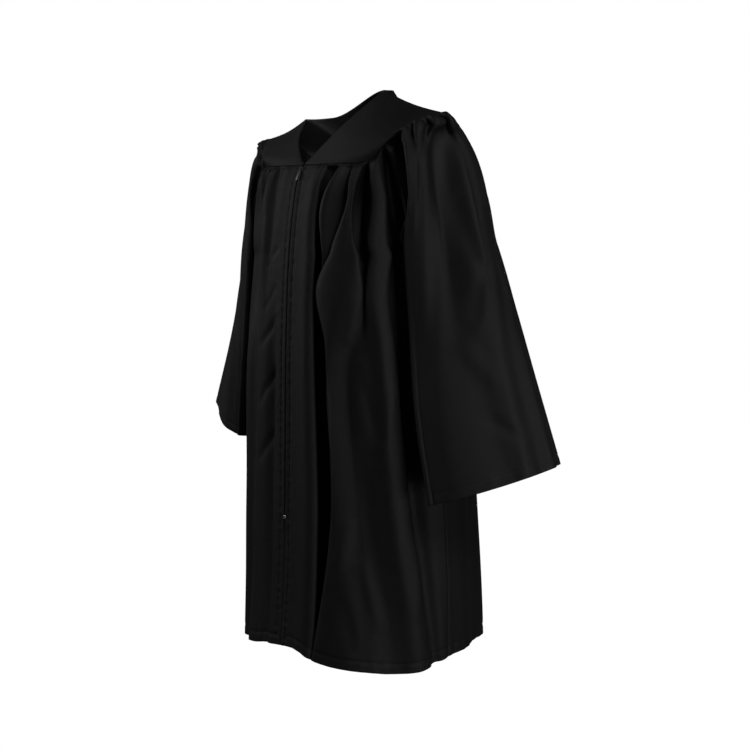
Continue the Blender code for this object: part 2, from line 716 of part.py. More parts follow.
def edge_place(z):
    """Places (x, down, out) on the straight run between the two rows of the front panels around z."""
    rows = [zip_line_z(way) for way in FRONT_WAYS]
    i = min(max(sum(1 for row in rows if row > z) - 1, 0), len(rows) - 2)
    upper = np.array([0, section_value("front_y", rows[i]), rows[i]])
    lower = np.array([0, section_value("front_y", rows[i + 1]), rows[i + 1]])
    down = (lower - upper) / np.linalg.norm(lower - upper)
    out = np.array([0, down[2], -down[1]])
    middle = upper + (lower - upper) * (z - rows[i]) / (rows[i + 1] - rows[i])

    def place(x, along, away):
        return middle + np.array([x, 0, 0]) + down * along + out * away
    return place


def zip_strip(name, x_inner, x_outer, out, top, bottom, thickness, material):
    """A flat strip that follows the edges of the front panels, row by row."""
    rows = [z for z in map(zip_line_z, FRONT_WAYS) if bottom + 0.004 < z < top - 0.004]

    def point(x, z):
        return edge_place(z)(x, 0.0, out)
    return cloth_body(name, point, (x_inner, x_outer), [top] + rows + [bottom], material, thickness)


def build_slider(metal):
    """The slider's two plates, the post between them and the bail on top, as one body, and its tab."""
    place = zip_frame(ZIP_TOP_Z - SLIDER_HEIGHT / 2)
    half = SLIDER_HEIGHT / 2
    up = -HINGE_UP
    front = CLOTH / 2 + FIT
    plate = front + SLIDER_PLATE
    bail = plate + BAIL_OPENING
    back = -(CLOTH / 2 + TAPE_GAP + ZIP_TAPE + FIT)
    into = 0.0004

    def block(name, half_width, low_down, high_down, low_out, high_out):
        low = (-half_width, low_down, low_out)
        high = (half_width, high_down, high_out)
        return box_body(name, place, low, high, metal)

    slider = block("zip_slider", SLIDER_HALF, -half, half, front, plate)
    others = [
        block("back_plate", SLIDER_HALF, -half, half, back - SLIDER_PLATE, back),
        block("post", SLIDER_POST_HALF, into - half, half * 0.2, back - into, front + into),
        block("leg", BAIL_HALF, up - BAIL_REACH, up - BAIL_REACH + BAIL_WALL, plate - into, bail + into),
        block("leg", BAIL_HALF, up + BAIL_REACH - BAIL_WALL, up + BAIL_REACH, plate - into, bail + into),
        block("cap", BAIL_HALF, up - BAIL_REACH, up + BAIL_REACH, bail, bail + BAIL_WALL),
    ]
    join(slider, others)
    xs = (-TAB_HALF, TAB_ARM - TAB_HALF, TAB_HALF - TAB_ARM, TAB_HALF)
    downs = (up - PIN, up + PIN, up + TAB_WINDOW, up + TAB_LENGTH)
    frame_body("zip_pull_tab", place, xs, downs, plate + BAIL_OPENING / 2, metal)


def build_zip(tape, coil, metal):
    top = ZIP_TOP_Z
    bottom = ZIP_TOP_Z - ZIP_LENGTH
    back = -(CLOTH / 2 + TAPE_GAP + ZIP_TAPE)
    for side, name in ((LEFT, "zip_tape_left"), (RIGHT, "zip_tape_right")):
        inner = side * ZIP_TAPE_INNER
        outer = side * ZIP_TAPE_OUTER
        zip_strip(name, inner, outer, back + ZIP_TAPE / 2, top, bottom - TAPE_END, ZIP_TAPE, tape)
    coil_top = top - 0.68 * SLIDER_HEIGHT
    coil_out = back + ZIP_COIL / 2
    zip_strip("zip_coil", -ZIP_COIL_HALF, ZIP_COIL_HALF, coil_out, coil_top, bottom, ZIP_COIL, coil)
    build_slider(metal)
    place = zip_frame(bottom - STOP_HEIGHT / 2 - 0.0003)
    high = (ZIP_COIL_HALF, STOP_HEIGHT / 2, STOP_HALF)
    low = (-ZIP_COIL_HALF, -STOP_HEIGHT / 2, -STOP_HALF)
    box_body("zip_bottom_stop", place, low, high, metal)


def build_cloth(material):
    downs = shares(9, *YOKE_TRIM_DOWN)
    for side, word in ((LEFT, "left"), (RIGHT, "right")):
        front = functools.partial(front_point, side)
        rows = len(FRONT_LEFT_FOLDS if side == LEFT else FRONT_RIGHT_FOLDS) - 1
        cloth_body("front_" + word, front, shares(2 * rows, 0, rows), FRONT_WAYS, material)
        sleeve = functools.partial(sleeve_point, side)
        rows = len(SLEEVE_FOLDS) - 1
        around = shares(2 * rows, 0, rows)[:-1]
        cloth_body("sleeve_" + word, sleeve, around, SLEEVE_WAYS, material, closed=True)
        yoke = functools.partial(yoke_front_point, side)
        cloth_body("yoke_front_" + word, yoke, shares(12, *YOKE_TRIM_FRONT), downs, material)
    rows = len(BACK_FOLDS) - 1
    cloth_body("back", back_point, shares(rows, 0, rows), BACK_WAYS, material)
    cloth_body("yoke_back", yoke_back_point, shares(24, *YOKE_TRIM_BACK), downs, material)


def main():
    for body in list(bpy.data.objects):
        bpy.data.objects.remove(body)
    cloth = make_material("black_polyester", (0.012, 0.012, 0.013), 0.0, 0.85)
    tape = make_material("black_zip_tape", (0.010, 0.010, 0.011), 0.0, 0.9)
    coil = make_material("black_zip_coil", (0.008, 0.008, 0.009), 0.0, 0.4)
    metal = make_material("blackened_metal", (0.03, 0.03, 0.032), 1.0, 0.35)
    build_cloth(cloth)
    build_zip(tape, coil, metal)


main()
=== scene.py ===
"""Looks of a child's graduation gown in its worn shape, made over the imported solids.

Metres, +Z up. The front faces -Y and the wearer's left side is +X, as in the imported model.
"""
import math

import bpy
import bmesh
import numpy as np
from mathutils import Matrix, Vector


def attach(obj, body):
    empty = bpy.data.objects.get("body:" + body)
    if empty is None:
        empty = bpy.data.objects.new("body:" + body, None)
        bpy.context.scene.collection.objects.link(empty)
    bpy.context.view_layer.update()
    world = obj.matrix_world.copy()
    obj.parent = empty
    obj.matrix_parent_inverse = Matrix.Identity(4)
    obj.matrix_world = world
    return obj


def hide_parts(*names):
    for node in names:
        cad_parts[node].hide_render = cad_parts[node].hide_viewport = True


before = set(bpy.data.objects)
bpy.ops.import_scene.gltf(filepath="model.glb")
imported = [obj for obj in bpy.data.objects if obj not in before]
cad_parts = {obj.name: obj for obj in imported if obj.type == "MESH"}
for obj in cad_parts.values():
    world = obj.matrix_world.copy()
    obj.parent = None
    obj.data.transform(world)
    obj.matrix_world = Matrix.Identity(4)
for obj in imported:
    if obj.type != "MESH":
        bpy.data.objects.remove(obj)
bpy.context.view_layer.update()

# The camera: how far it stands round to the wearer's left, its distance and height, how far it looks
# down, its focal length in pixels, and the pixel of the square picture that its line of sight meets
VIEW_AZIMUTH = math.radians(48.112)
VIEW_DISTANCE = 2.6808
VIEW_HEIGHT = -0.1894
VIEW_PITCH = math.radians(3.169)
VIEW_FOCUS = 1793.5
PRINCIPAL_X, PRINCIPAL_Y = 344.0, 332.0
PICTURE = 750

# Sizes of the gown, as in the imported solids
LEFT, RIGHT = 1, -1
SIDES = ((LEFT, "left"), (RIGHT, "right"))
SEAM_GAP = 0.0001
SEAM_TUCK = 0.0015
SLEEVE_PULL = 0.0002
FRONT_SEAM_Z = -0.090
BACK_SEAM_Z = -0.104
UNDERARM_Z = -0.222
NECK_HALF = 0.086
SHOULDER_HALF = 0.187
SHOULDER_Y = 0.015
SHOULDER_SAG = 0.004
BACK_NECK_Y = 0.052
BACK_NECK_RISE = 0.006
NECK_Z = {LEFT: 0.017, RIGHT: -0.017}
SHOULDER_Z = {LEFT: -0.019, RIGHT: -0.042}
FRONT_CORNER_Z = {LEFT: -0.062, RIGHT: -0.086}
BACK_CORNER_Z = {LEFT: -0.088, RIGHT: -0.090}
ZIP_LENGTH = 0.508
ZIP_TOP_Z = -0.0935
ZIP_OPENING = 0.006
SLIDER_HEIGHT = 0.0105
STOP_HEIGHT = 0.005
CHAIN_END_Z = ZIP_TOP_Z - ZIP_LENGTH

# Sizes of the cloth and its sewing, which only show here
CLOTH = 0.0008
YOKE_CLOTH = 0.0014
EDGE_GAP = 0.0010
EDGE_LIFT = 0.0010
STITCH_LINE = 0.0095
HEM_DEPTH = 0.014
STITCH_PITCH = 0.0034
STITCH_LENGTH = 0.0025
THREAD = 0.00042
EDGE_ROLL = 0.0006
ZIP_LINE_PULL = 0.0008
HEM_LINE_PULL = 0.0007
RIPPLE = 0.0009
FRONT_FADE = 0.008
BACK_FADE = 0.014
FLOOR_Z = -1.2
BODY_MIDDLE_Y = 0.03

# Sizes of each panel, across and down, that its soft creases and ripples are laid out on
FRONT_SIZE = (0.29, 0.72)
BACK_SIZE = (0.62, 0.70)
SLEEVE_SIZE = (0.42, 0.52)
FRONT_CUT_DROP = 0.73
YOKE_FRONT_WIDTH = 0.13
YOKE_BACK_WIDTH = 0.42
CUFF_RIPPLES = 26

# Gathers into a seam: relief, length of a pucker, and how far they reach (the sleeves': as a share of
# the way down)
FRONT_GATHERS = (0.0016, 0.0085, 0.022)
BACK_SMALL_GATHERS = (0.0014, 0.0095, 0.030)
SLEEVE_GATHERS = (0.0015, 0.0098, 0.05)

# The zip: tapes, teeth, slider, the loop on the slider, and the pull tab that swings on it. Sizes
# that end in OUT are distances in front of the cloth's plain face.
ZIP_TAPE = 0.0008
TAPE_INNER = 0.0013
TAPE_OUTER = 0.0150
TAPE_END = 0.015
TOOTH_PITCH = 0.00135
TOOTH_LENGTH = 0.0034
TOOTH_THICK = 0.0011
TOOTH_STAGGER = 0.0010
SLIDER_HALF = 0.0040
SLIDER_PLATE = 0.0011
SLIDER_POST_HALF = 0.0013
SLIDER_ROUND = 0.00035
SMALL_ROUND = 0.0002
BAIL_HALF = 0.0010
BAIL_REACH = 0.0017
BAIL_WALL = 0.0007
BAIL_OPENING = 0.0016
PIN = 0.00045
HINGE_UP = 0.0012
TAB_LENGTH = 0.0185
TAB_HALF = 0.0024
TAB_WINDOW = 0.0026
TAB_ARM = 0.0010
STOP_HALF = 0.0022
STOP_THICK_HALF = 0.0018
STOP_ROUND = 0.0004
PLATE_OUT = 0.00225
BACK_OUT = -0.00225
TAPE_OUT = -0.00145
TEETH_OUT = -0.0006


def table(names, rows):
    """The columns of a table by their names."""
    return dict(zip(names.split(), np.array(rows, float).T))


# Level sections of the body: height, half of the width, where the front, the back and the widest
# line lie, and the exponent of the superellipse
BODY = table("z half_width front_y back_y widest_y roundness", (
    (-0.060, 0.146, -0.066, 0.078, 0.010, 2.3),
    (-0.094, 0.152, -0.081, 0.090, 0.012, 2.3),
    (-0.114, 0.155, -0.090, 0.098, 0.014, 2.3),
    (-0.147, 0.160, -0.097, 0.108, 0.018, 2.3),
    (-0.231, 0.166, -0.107, 0.128, 0.024, 2.3),
    (-0.308, 0.170, -0.111, 0.142, 0.028, 2.4),
    (-0.488, 0.177, -0.114, 0.166, 0.033, 2.4),
    (-0.604, 0.181, -0.1155, 0.179, 0.035, 2.3),
    (-0.717, 0.181, -0.1195, 0.194, 0.040, 2.2),
    (-0.850, 0.180, -0.131, 0.208, 0.044, 2.1),
))

# Height of the hem on each side, over the share of the half girth from the zip to the middle of the
# back. The zip holds it up a little.
HEM = table("share left_z right_z", (
    (0.00, -0.7920, -0.7920),
    (0.05, -0.7920, -0.7935),
    (0.08, -0.7955, -0.7950),
    (0.11, -0.8030, -0.7980),
    (0.16, -0.8095, -0.8005),
    (0.22, -0.8140, -0.8030),
    (0.28, -0.8175, -0.8040),
    (0.33, -0.8200, -0.8045),
    (0.38, -0.8190, -0.8045),
    (0.42, -0.8155, -0.8040),
    (0.46, -0.8090, -0.8025),
    (0.50, -0.8035, -0.8010),
    (0.60, -0.7960, -0.7965),
    (0.75, -0.7890, -0.7895),
    (1.00, -0.7850, -0.7850),
))

# Armhole and side seam on the body, as a share of the half girth from the zip to the middle of the
# back
EDGES = table("z front_share back_share", (
    (-0.060, 0.363, 0.655),
    (-0.080, 0.375, 0.640),
    (-0.090, 0.380, 0.634),
    (-0.110, 0.391, 0.620),
    (-0.130, 0.404, 0.606),
    (-0.150, 0.418, 0.591),
    (-0.170, 0.435, 0.574),
    (-0.190, 0.456, 0.553),
    (-0.208, 0.479, 0.529),
    (-0.222, 0.504, 0.504),
    (-0.850, 0.504, 0.504),
))

# Edge of the yoke over the arm, from its front corner and from its back corner to the shoulder seam,
# with x measured towards the arm. The yoke's front comes higher over the wearer's left arm.
YOKE_EDGE_FRONT = {
    LEFT: ((0.139, -0.0385, -0.0545), (0.155, -0.034, -0.043), (0.173, -0.014, -0.029)),
    RIGHT: ((0.139, -0.040, -0.0765), (0.151, -0.030, -0.063), (0.168, -0.012, -0.051)),
}
YOKE_EDGE_BACK = {
    LEFT: ((0.150, 0.060, -0.060), (0.165, 0.047, -0.040), (0.178, 0.032, -0.028)),
    RIGHT: ((0.150, 0.060, -0.066), (0.165, 0.047, -0.0515), (0.178, 0.032, -0.045)),
}

# How far each sleeve stands out from the armhole before it falls, and how steeply it starts down, at
# turns round the armhole. It is fuller over the back of the shoulder, and under the yoke's front edge
# it hangs straight down from the seam.
STAND_WAY = 0.04
STAND = table("turn reach down", (
    (0.00, 0.018, 0.45),
    (0.10, 0.009, 0.55),
    (0.15, 0.010, 1.05),
    (0.21, 0.011, 1.10),
    (0.25, 0.0115, 0.60),
    (0.30, 0.0115, 0.28),
    (0.50, 0.014, 0.15),
    (0.75, 0.014, 0.30),
    (0.90, 0.020, 0.42),
    (1.00, 0.018, 0.45),
))

# Sleeve rings on the wearer's left: share of the way from armhole to cuff, middle of the ring, half
# of its long and its short axis, how far the long axis turns outwards at the back, how far the ring
# leans from upright to level, how much its back end rises for each metre, how much flatter it is on
# the side of the body, and the power that squares its corners
RINGS = table("way x y z long short turn lean rise inner square", (
    (0.12, 0.190, 0.011, -0.138, 0.060, 0.086, 15, 4, 0.00, 1.0, 0.8),
    (0.28, 0.205, 0.017, -0.215, 0.066, 0.040, 38, 55, 0.10, 0.7, 0.9),
    (0.50, 0.225, 0.022, -0.317, 0.076, 0.038, 42, 76, 0.20, 0.5, 1.0),
    (0.75, 0.250, 0.0235, -0.427, 0.086, 0.038, 42, 86, 0.27, 0.5, 1.0),
    (1.00, 0.281, 0.027, -0.541, 0.092, 0.038, 42, 90, 0.31, 0.6, 1.0),
))

# The wearer's right arm is carried a little higher and turned outwards: a row for each ring
RIGHT_SHIFTS = table("way x y z turn", (
    (0.12, -0.008, 0.009, 0.001, 0),
    (0.28, 0.000, 0.005, 0.014, 0),
    (0.50, 0.005, 0.005, 0.029, 3),
    (0.75, 0.009, 0.008, 0.043, 10),
    (1.00, 0.012, 0.010, 0.058, 17),
))

# Folds: a row for each crest and each hollow across a panel. Its places, in thousandths of the
# panel's width, come first, one for each of the ways from seam to hem; then how far it stands out of
# the plain form there, in millimetres. A row that lies behind the one before it goes back under a
# pleat.
FOLD_WAYS = (0.0, 0.02, 0.07, 0.16, 0.24, 0.36, 0.66, 1.0)
FRONT_LEFT_ROWS = (
    (0, 0, 0, 0, 0, 0, 0, 0, 0, 0, 0, 0, 0, 0, 0, 0),
    (140, 133, 115, 95, 88, 85, 92, 90, 1, 1, 1, 1, 1, 1, 1, 1),
    (295, 280, 245, 208, 194, 198, 218, 212, 2, 3.2, 4, 4, 4, 5, 5, 4),
    (318, 303, 268, 230, 216, 221, 241, 232, 0, 0, 0, 0, 0, 0, 0, 0),
    (305, 275, 205, 150, 130, 130, 150, 175, -3, -7.3, -10, -11, -11, -12, -12, -5),
    (330, 295, 215, 150, 130, 135, 155, 190, -5, -15.5, -22, -27, -28, -30, -28, -9),
    (430, 388, 290, 225, 205, 235, 265, 210, -6, -16.5, -23, -28, -29, -31, -29, -9),
    (490, 443, 333, 283, 248, 312, 337, 224, -1, -5.3, -8, -10, -12, -12, -12, -4),
    (510, 460, 343, 292, 268, 332, 357, 238, 4, 5.2, 6, 3, -6, -6, -6, -3),
    (585, 550, 470, 345, 276, 340, 365, 244, -4, -4.6, -5, -1, -7, -7, -7, -3),
    (642, 625, 585, 392, 272, 336, 361, 241, -3, -6.7, -9, -6, -3, -3, -3, -1),
    (645, 624, 576, 384, 256, 320, 345, 230, 3, 4.2, 5, 4, 4, 4, 4, 3),
    (690, 664, 602, 490, 430, 352, 368, 440, 5, 6.9, 8, 8, 8, 7, 6, 3),
    (745, 707, 618, 540, 540, 450, 462, 530, 1, 3.5, 5, 5, 3, -3, -3, 0),
    (755, 702, 578, 492, 552, 480, 492, 585, -4, -10.2, -14, -13, -4, -4, -4, -1),
    (790, 745, 640, 560, 560, 520, 530, 650, -7, -20, -28, -25, -9, -3, -4, -3),
    (815, 804, 778, 626, 578, 590, 610, 720, -3, 2, 5, 6, 6, 2, 2, 0),
    (885, 871, 840, 693, 640, 650, 682, 802, 4, 6.5, 8, 8, 8, 9, 9, 8),
    (950, 936, 902, 758, 704, 720, 765, 875, 0, 1.2, 2, 2, 1, 1, 1, 3),
    (945, 923, 872, 716, 664, 686, 740, 885, -3, -7.3, -10, -12, -13, -12, -11, -1),
    (960, 945, 910, 790, 740, 762, 810, 915, -4, -12.7, -18, -23, -23, -22, -19, -4),
    (980, 972, 955, 895, 880, 885, 900, 955, -2, -5.7, -8, -12, -12, -10, -7, 3),
    (1000, 1000, 1000, 1000, 1000, 1000, 1000, 1000, 0, 0, 0, 0, 0, 0, 0, 0),
)
FRONT_RIGHT_ROWS = (
    (0, 0, 0, 0, 0, 0, 0, 0, 0, 0, 0, 0, 0, 0, 0, 0),
    (100, 100, 100, 90, 86, 80, 90, 100, 1, 1, 1, 1, 1, 1, 1, 1),
    (200, 197, 190, 170, 155, 125, 118, 120, 3, 3, 3, 3, 2, -3, -4, -3),
    (320, 311, 290, 230, 210, 190, 190, 200, -4, -4.6, -5, -3, -1, 2, 2, 1),
    (460, 448, 420, 310, 290, 260, 270, 310, 5, 5.6, 6, 5, 4.6, 4, 4, 5),
    (590, 578, 550, 400, 372, 350, 350, 420, -5, -5.6, -8, -10, -10, -5, -3, -5),
    (700, 688, 660, 540, 504, 450, 450, 530, 5, 5.6, 1, -6, -7, 3, 4, 6),
    (790, 781, 760, 640, 604, 550, 560, 640, -6, -6.6, -7, -6, -5.2, -4, -4, -5),
    (870, 861, 840, 750, 718, 670, 680, 750, 5, 5.6, 6, 6, 5.6, 5, 5, 7),
    (940, 934, 920, 870, 850, 820, 830, 870, -2, -2.6, -3, -4, -4.4, -5, -4, -5),
    (1000, 1000, 1000, 1000, 1000, 1000, 1000, 1000, 0, 0, 0, 0, 0, 0, 0, 0),
)

# Gathers of the back panel: how many, and at the same ways the relief in millimetres of the gathers
# and of the broad folds they join into, and how much of the gathers' unevenness is left
BACK_GATHERS = 22
BACK_GATHER = (2.6, 2.8, 2.6, 1.8, 1.4, 0.8, 0.0, 0.0)
BACK_FOLD = (0.0, 0.3, 1.0, 2.0, 2.8, 4.0, 5.0, 6.0)
BACK_STRAY = (1, 1, 1, 0.5, 0, 0, 0, 0)

# Folds of a sleeve in the same way: thousandths of a turn from the shoulder seam towards the front,
# then millimetres, at the ways from armhole to cuff. The last row is the first one a turn on.
SLEEVE_WAYS = (0.03, 0.08, 0.14, 0.30, 0.65, 1.0)
SLEEVE_ROWS = (
    (8, -7, -46, -85, -35, -40, -4, -5, 2, 7, -2, -2),
    (19, 8, 12, 18, 30, 35, 3, 2, -8, -10, -2, 0),
    (46, 40, 40, 45, 98, 105, 4, 4, -3, -7, 3, 3),
    (50, 47, 52, 70, 115, 120, -8, -6, -1.5, -3.5, 2, 2),
    (60, 58, 66, 90, 130, 140, -6, -4, -0.3, 0.5, 1, 1),
    (70, 74, 84, 110, 142, 152, 3, 3, 1, 2.5, 1, 1),
    (90, 98, 102, 127, 158, 165, 4, 4, 1.8, 3.5, 1, 1),
    (95, 108, 116, 139, 164, 170, -8, -6, 2, 4, 1, 1),
    (106, 120, 132, 152, 172, 177, -5, -4, 2.5, 4, 1, 1),
    (118, 158, 194, 192, 190, 190, 3, 4, 4, 4, 4, 4),
    (130, 178, 216, 210, 209, 206, 1, 1, 2, 2, 2, 2),
    (152, 200, 236, 236, 240, 240, -4, -5, -5, -4, -3, -2),
    (205, 245, 285, 300, 310, 310, -3, -6, -8, -8, -6, -4),
    (300, 320, 330, 340, 340, 340, -2, -4, -5, -5, -5, -4),
    (400, 410, 410, 410, 410, 410, -2, -2, -2, 0, 0, 1),
    (500, 500, 500, 500, 490, 480, 0, 0, 0, 0, -1, -2),
    (620, 610, 605, 600, 590, 580, -2, -2, -2, -2, 0, 1),
    (700, 695, 690, 680, 670, 670, -4, -4, -4, -4, -3, -2),
    (780, 770, 760, 750, 740, 740, 3, 3, 2, 2, 2, 3),
    (840, 830, 815, 800, 785, 785, -4, -3, -1, -1, -2, -3),
    (895, 875, 850, 825, 815, 820, 5, 6, 5, 1, 2, 3),
    (935, 915, 885, 858, 870, 870, 2, 7, 6, 3, -1, -2),
    (975, 955, 920, 885, 915, 915, 4, 7, 6, 5, 2, 3),
    (1004, 988, 941, 902, 945, 940, 5, 6, 4, 6, 0, 0),
    (1008, 993, 954, 915, 965, 960, -4, -5, 2, 7, -2, -2),
)

# About how much cloth the places of the rows stand for, across a panel or round a sleeve
FRONT_WIDTH = 0.235
BACK_WIDTH = 0.47
SLEEVE_WIDTH = 0.38

# Under the front corner of the yoke the sleeve falls back into the armhole: the ways, the turn in
# the middle of that hollow, half of its width in turns, and its depth. The far sleeve has none.
HOLLOW = table("way turn half depth", (
    (0.00, 0.185, 0.050, 0.000),
    (0.03, 0.180, 0.068, 0.017),
    (0.08, 0.200, 0.070, 0.022),
    (0.14, 0.250, 0.064, 0.020),
    (0.22, 0.300, 0.062, 0.012),
    (0.40, 0.315, 0.070, 0.000),
))
HOLLOW_SHARE = {LEFT: 1.0, RIGHT: 0.0}
ARMHOLE_DIP = 0.013

# Soft creases: where each starts and ends (share across the panel, or turn, and way down it), its
# width and its relief, both in millimetres
FRONT_CREASES = {
    LEFT: (
        (0.52, 0.26, 0.44, 0.36, 8, 2.0),
        (0.50, 0.40, 0.62, 0.55, 10, -1.6),
        (0.72, 0.42, 0.60, 0.60, 9, 1.8),
        (0.45, 0.70, 0.34, 0.84, 9, 2.2),
        (0.50, 0.78, 0.60, 0.92, 10, 2.0),
        (0.40, 0.86, 0.46, 0.97, 8, -2.2),
        (0.84, 0.72, 0.78, 0.90, 12, 2.4),
    ),
    RIGHT: (
        (0.10, 0.17, 0.23, 0.21, 5, -1.8),
        (0.10, 0.25, 0.23, 0.30, 5, -1.6),
        (0.09, 0.31, 0.24, 0.38, 6, -2.0),
        (0.09, 0.42, 0.24, 0.50, 6, -2.2),
        (0.10, 0.55, 0.24, 0.62, 6, -1.8),
        (0.36, 0.10, 0.50, 0.20, 8, -2.5),
        (0.35, 0.62, 0.28, 0.80, 7, 1.6),
    ),
}
BACK_CREASES = (
    (0.30, 0.40, 0.38, 0.55, 9, 2.0),
    (0.66, 0.35, 0.60, 0.52, 9, 2.0),
    (0.45, 0.62, 0.52, 0.80, 10, -2.0),
    (0.20, 0.60, 0.14, 0.78, 9, 1.8),
    (0.80, 0.55, 0.86, 0.75, 9, 1.8),
)
SLEEVE_CREASES = {
    LEFT: (
        (-0.02, 0.22, -0.10, 0.40, 12, -3.0),
        (-0.09, 0.34, -0.03, 0.52, 10, -2.5),
        (-0.16, 0.30, -0.20, 0.50, 9, 2.5),
        (0.02, 0.55, -0.06, 0.72, 11, 2.0),
        (-0.02, 0.80, -0.10, 0.90, 8, -1.8),
        (0.15, 0.30, 0.17, 0.70, 8, -1.5),
    ),
    RIGHT: (
        (0.20, 0.35, 0.30, 0.45, 7, -2.0),
        (-0.05, 0.30, -0.12, 0.48, 10, -2.5),
        (0.10, 0.60, 0.18, 0.75, 8, 2.0),
    ),
}


def cubic(p, h, start, end, start_slope, end_slope):
    """A smooth step of length h from start to end, at a share p of it."""
    near = (1 + 2 * p) * (1 - p) ** 2 * start + p * (1 - p) ** 2 * h * start_slope
    far = p * p * (3 - 2 * p) * end + p * p * (p - 1) * h * end_slope
    return near + far


def curve_at(xs, ys, x):
    """Smooth curve through (xs, ys) at x, with the slopes of its neighbours. ys may hold points."""
    xs = np.asarray(xs, float)
    ys = np.asarray(ys, float)
    if xs[0] > xs[-1]:
        xs = xs[::-1]
        ys = ys[::-1]
    slopes = np.gradient(ys, xs, axis=0)
    x = np.clip(np.asarray(x, float), xs[0], xs[-1])
    i = np.clip(np.searchsorted(xs, x) - 1, 0, len(xs) - 2)
    h = xs[i + 1] - xs[i]
    p = (x - xs[i]) / h
    if ys.ndim > 1:
        h = h[..., None]
        p = p[..., None]
    return cubic(p, h, ys[i], ys[i + 1], slopes[i], slopes[i + 1])


def fade(p):
    """Rises smoothly from 0 at p = 0 to 1 at p = 1."""
    p = np.clip(p, 0.0, 1.0)
    return p * p * (3 - 2 * p)


def bump(p):
    """A soft ridge: 1 at p = 0, 0 from p = 1 on."""
    return 1 - fade(np.abs(p))


def section_value(name, z):
    return curve_at(BODY["z"], BODY[name], z)


def edge_share(name, z):
    """Share of the half girth at which a panel ends at this height."""
    return np.interp(z, EDGES["z"][::-1], EDGES[name][::-1])


def make_body_net():
    """The plain body on a fine net of heights and of shares of the half girth."""
    heights = np.linspace(BODY["z"][-1], BODY["z"][0], 396)
    across = np.linspace(0, 1, 401)
    angle = np.linspace(0, math.pi, 721)
    net = np.zeros((len(heights), len(across), 2))
    girth = np.zeros(len(heights))
    for i, z in enumerate(heights):
        power = 2 / section_value("roundness", z)
        widest = section_value("widest_y", z)
        x = section_value("half_width", z) * np.abs(np.sin(angle)) ** power
        ends = np.where(angle < math.pi / 2, section_value("front_y", z), section_value("back_y", z))
        y = widest + (ends - widest) * np.abs(np.cos(angle)) ** power
        x[[0, -1]] = 0.0
        run = np.concatenate([[0], np.cumsum(np.hypot(np.diff(x), np.diff(y)))])
        girth[i] = run[-1]
        net[i, :, 0] = np.interp(across * run[-1], run, x)
        net[i, :, 1] = np.interp(across * run[-1], run, y)
    return heights, across, net, girth


NET_Z, NET_ACROSS, NET, NET_GIRTH = make_body_net()


def half_girth(z):
    return np.interp(z, NET_Z, NET_GIRTH)


def net_point(share, z):
    """Plain body at a share of the half girth, on the wearer's left."""
    row = np.clip((z - NET_Z[0]) / (NET_Z[1] - NET_Z[0]), 0, len(NET_Z) - 1.001)
    col = np.clip(share, 0, 1) * (len(NET_ACROSS) - 1.001)
    i = row.astype(int)
    j = col.astype(int)
    p = (row - i)[..., None]
    q = (col - j)[..., None]
    upper = NET[i, j] * (1 - q) + NET[i, j + 1] * q
    lower = NET[i + 1, j] * (1 - q) + NET[i + 1, j + 1] * q
    return upper * (1 - p) + lower * p


def body_point(run, z, out):
    """Points at these runs from the zip, moved out of the cloth's face, on the wearer's left."""
    run, z, out = np.broadcast_arrays(*(np.asarray(part, float) for part in (run, z, out)))
    step = 0.004
    girth = half_girth(z)
    here = net_point(run / girth, z)
    along = net_point((run + step) / girth, z) - net_point((run - step) / girth, z)
    along = along / np.linalg.norm(along, axis=-1, keepdims=True)
    x = here[..., 0] + out * along[..., 1]
    y = here[..., 1] - out * along[..., 0]
    return np.stack([x, y, z], axis=-1)


def mirrored(points, side):
    return points * np.array([side, 1, 1])


def fold_set(rows, ways, width, closed=False):
    """Fold rows made ready: how much cloth lies before each row, the places and the reliefs of all
    rows at the ways down, and the length of the whole cut. A closed set goes on past both ends."""
    rows = np.array(rows) / 1000
    count = len(ways)
    steps = np.diff(rows, axis=0)
    knots = np.hypot(steps[:, :count] * width, steps[:, count:]).mean(axis=1)
    knots = np.concatenate([[0], np.cumsum(knots)])
    length = knots[-1]
    if closed:
        turn = np.array([1.0] * count + [0.0] * count)
        rows = np.concatenate([rows[-2:-1] - turn, rows, rows[1:2] + turn])
        knots = np.concatenate([[knots[-2] - length], knots, [length + knots[1]]])
    return {"ways": ways, "knots": knots, "places": rows[:, :count].T, "outs": rows[:, count:].T,
            "length": length}


def fold_net(folds, ways, runs):
    """Place and relief of the folds at these ways down and runs across the cut. The folds pass
    smoothly through the rows of the table."""
    rows = [curve_at(folds["ways"], folds[name], ways) for name in ("places", "outs")]
    return [curve_at(folds["knots"], part.T, runs).T for part in rows]


def back_rows():
    """Fold rows of the back panel: many small gathers under the yoke that join into broad folds."""
    rows = []
    count = 2 * BACK_GATHERS
    for i in range(count + 1):
        even = i / count
        inside = 0 < i < count
        crest = (1 if i % 2 else -1) * inside
        stray = 0.35 / count * math.sin(2.4 * i) * inside
        wave = 1.5 * math.sin(math.pi * even * 13 + 0.6) * math.sin(math.pi * even)
        places = [1000 * (even + stray * part) for part in BACK_STRAY]
        rows.append(places + [crest * a + wave * b for a, b in zip(BACK_GATHER, BACK_FOLD)])
    return rows


FRONT_FOLDS = {LEFT: fold_set(FRONT_LEFT_ROWS, FOLD_WAYS, FRONT_WIDTH),
               RIGHT: fold_set(FRONT_RIGHT_ROWS, FOLD_WAYS, FRONT_WIDTH)}
BACK_FOLDS = fold_set(back_rows(), FOLD_WAYS, BACK_WIDTH)
SLEEVE_FOLDS = fold_set(SLEEVE_ROWS, SLEEVE_WAYS, SLEEVE_WIDTH, closed=True)


def front_seam_z(side, share):
    """Height of the seam under the front yoke: level from the zip, then up to the yoke's corner."""
    rise = np.clip((share - 0.68) / 0.32, 0, 1) ** 2
    return FRONT_SEAM_Z + (FRONT_CORNER_Z[side] - FRONT_SEAM_Z) * rise


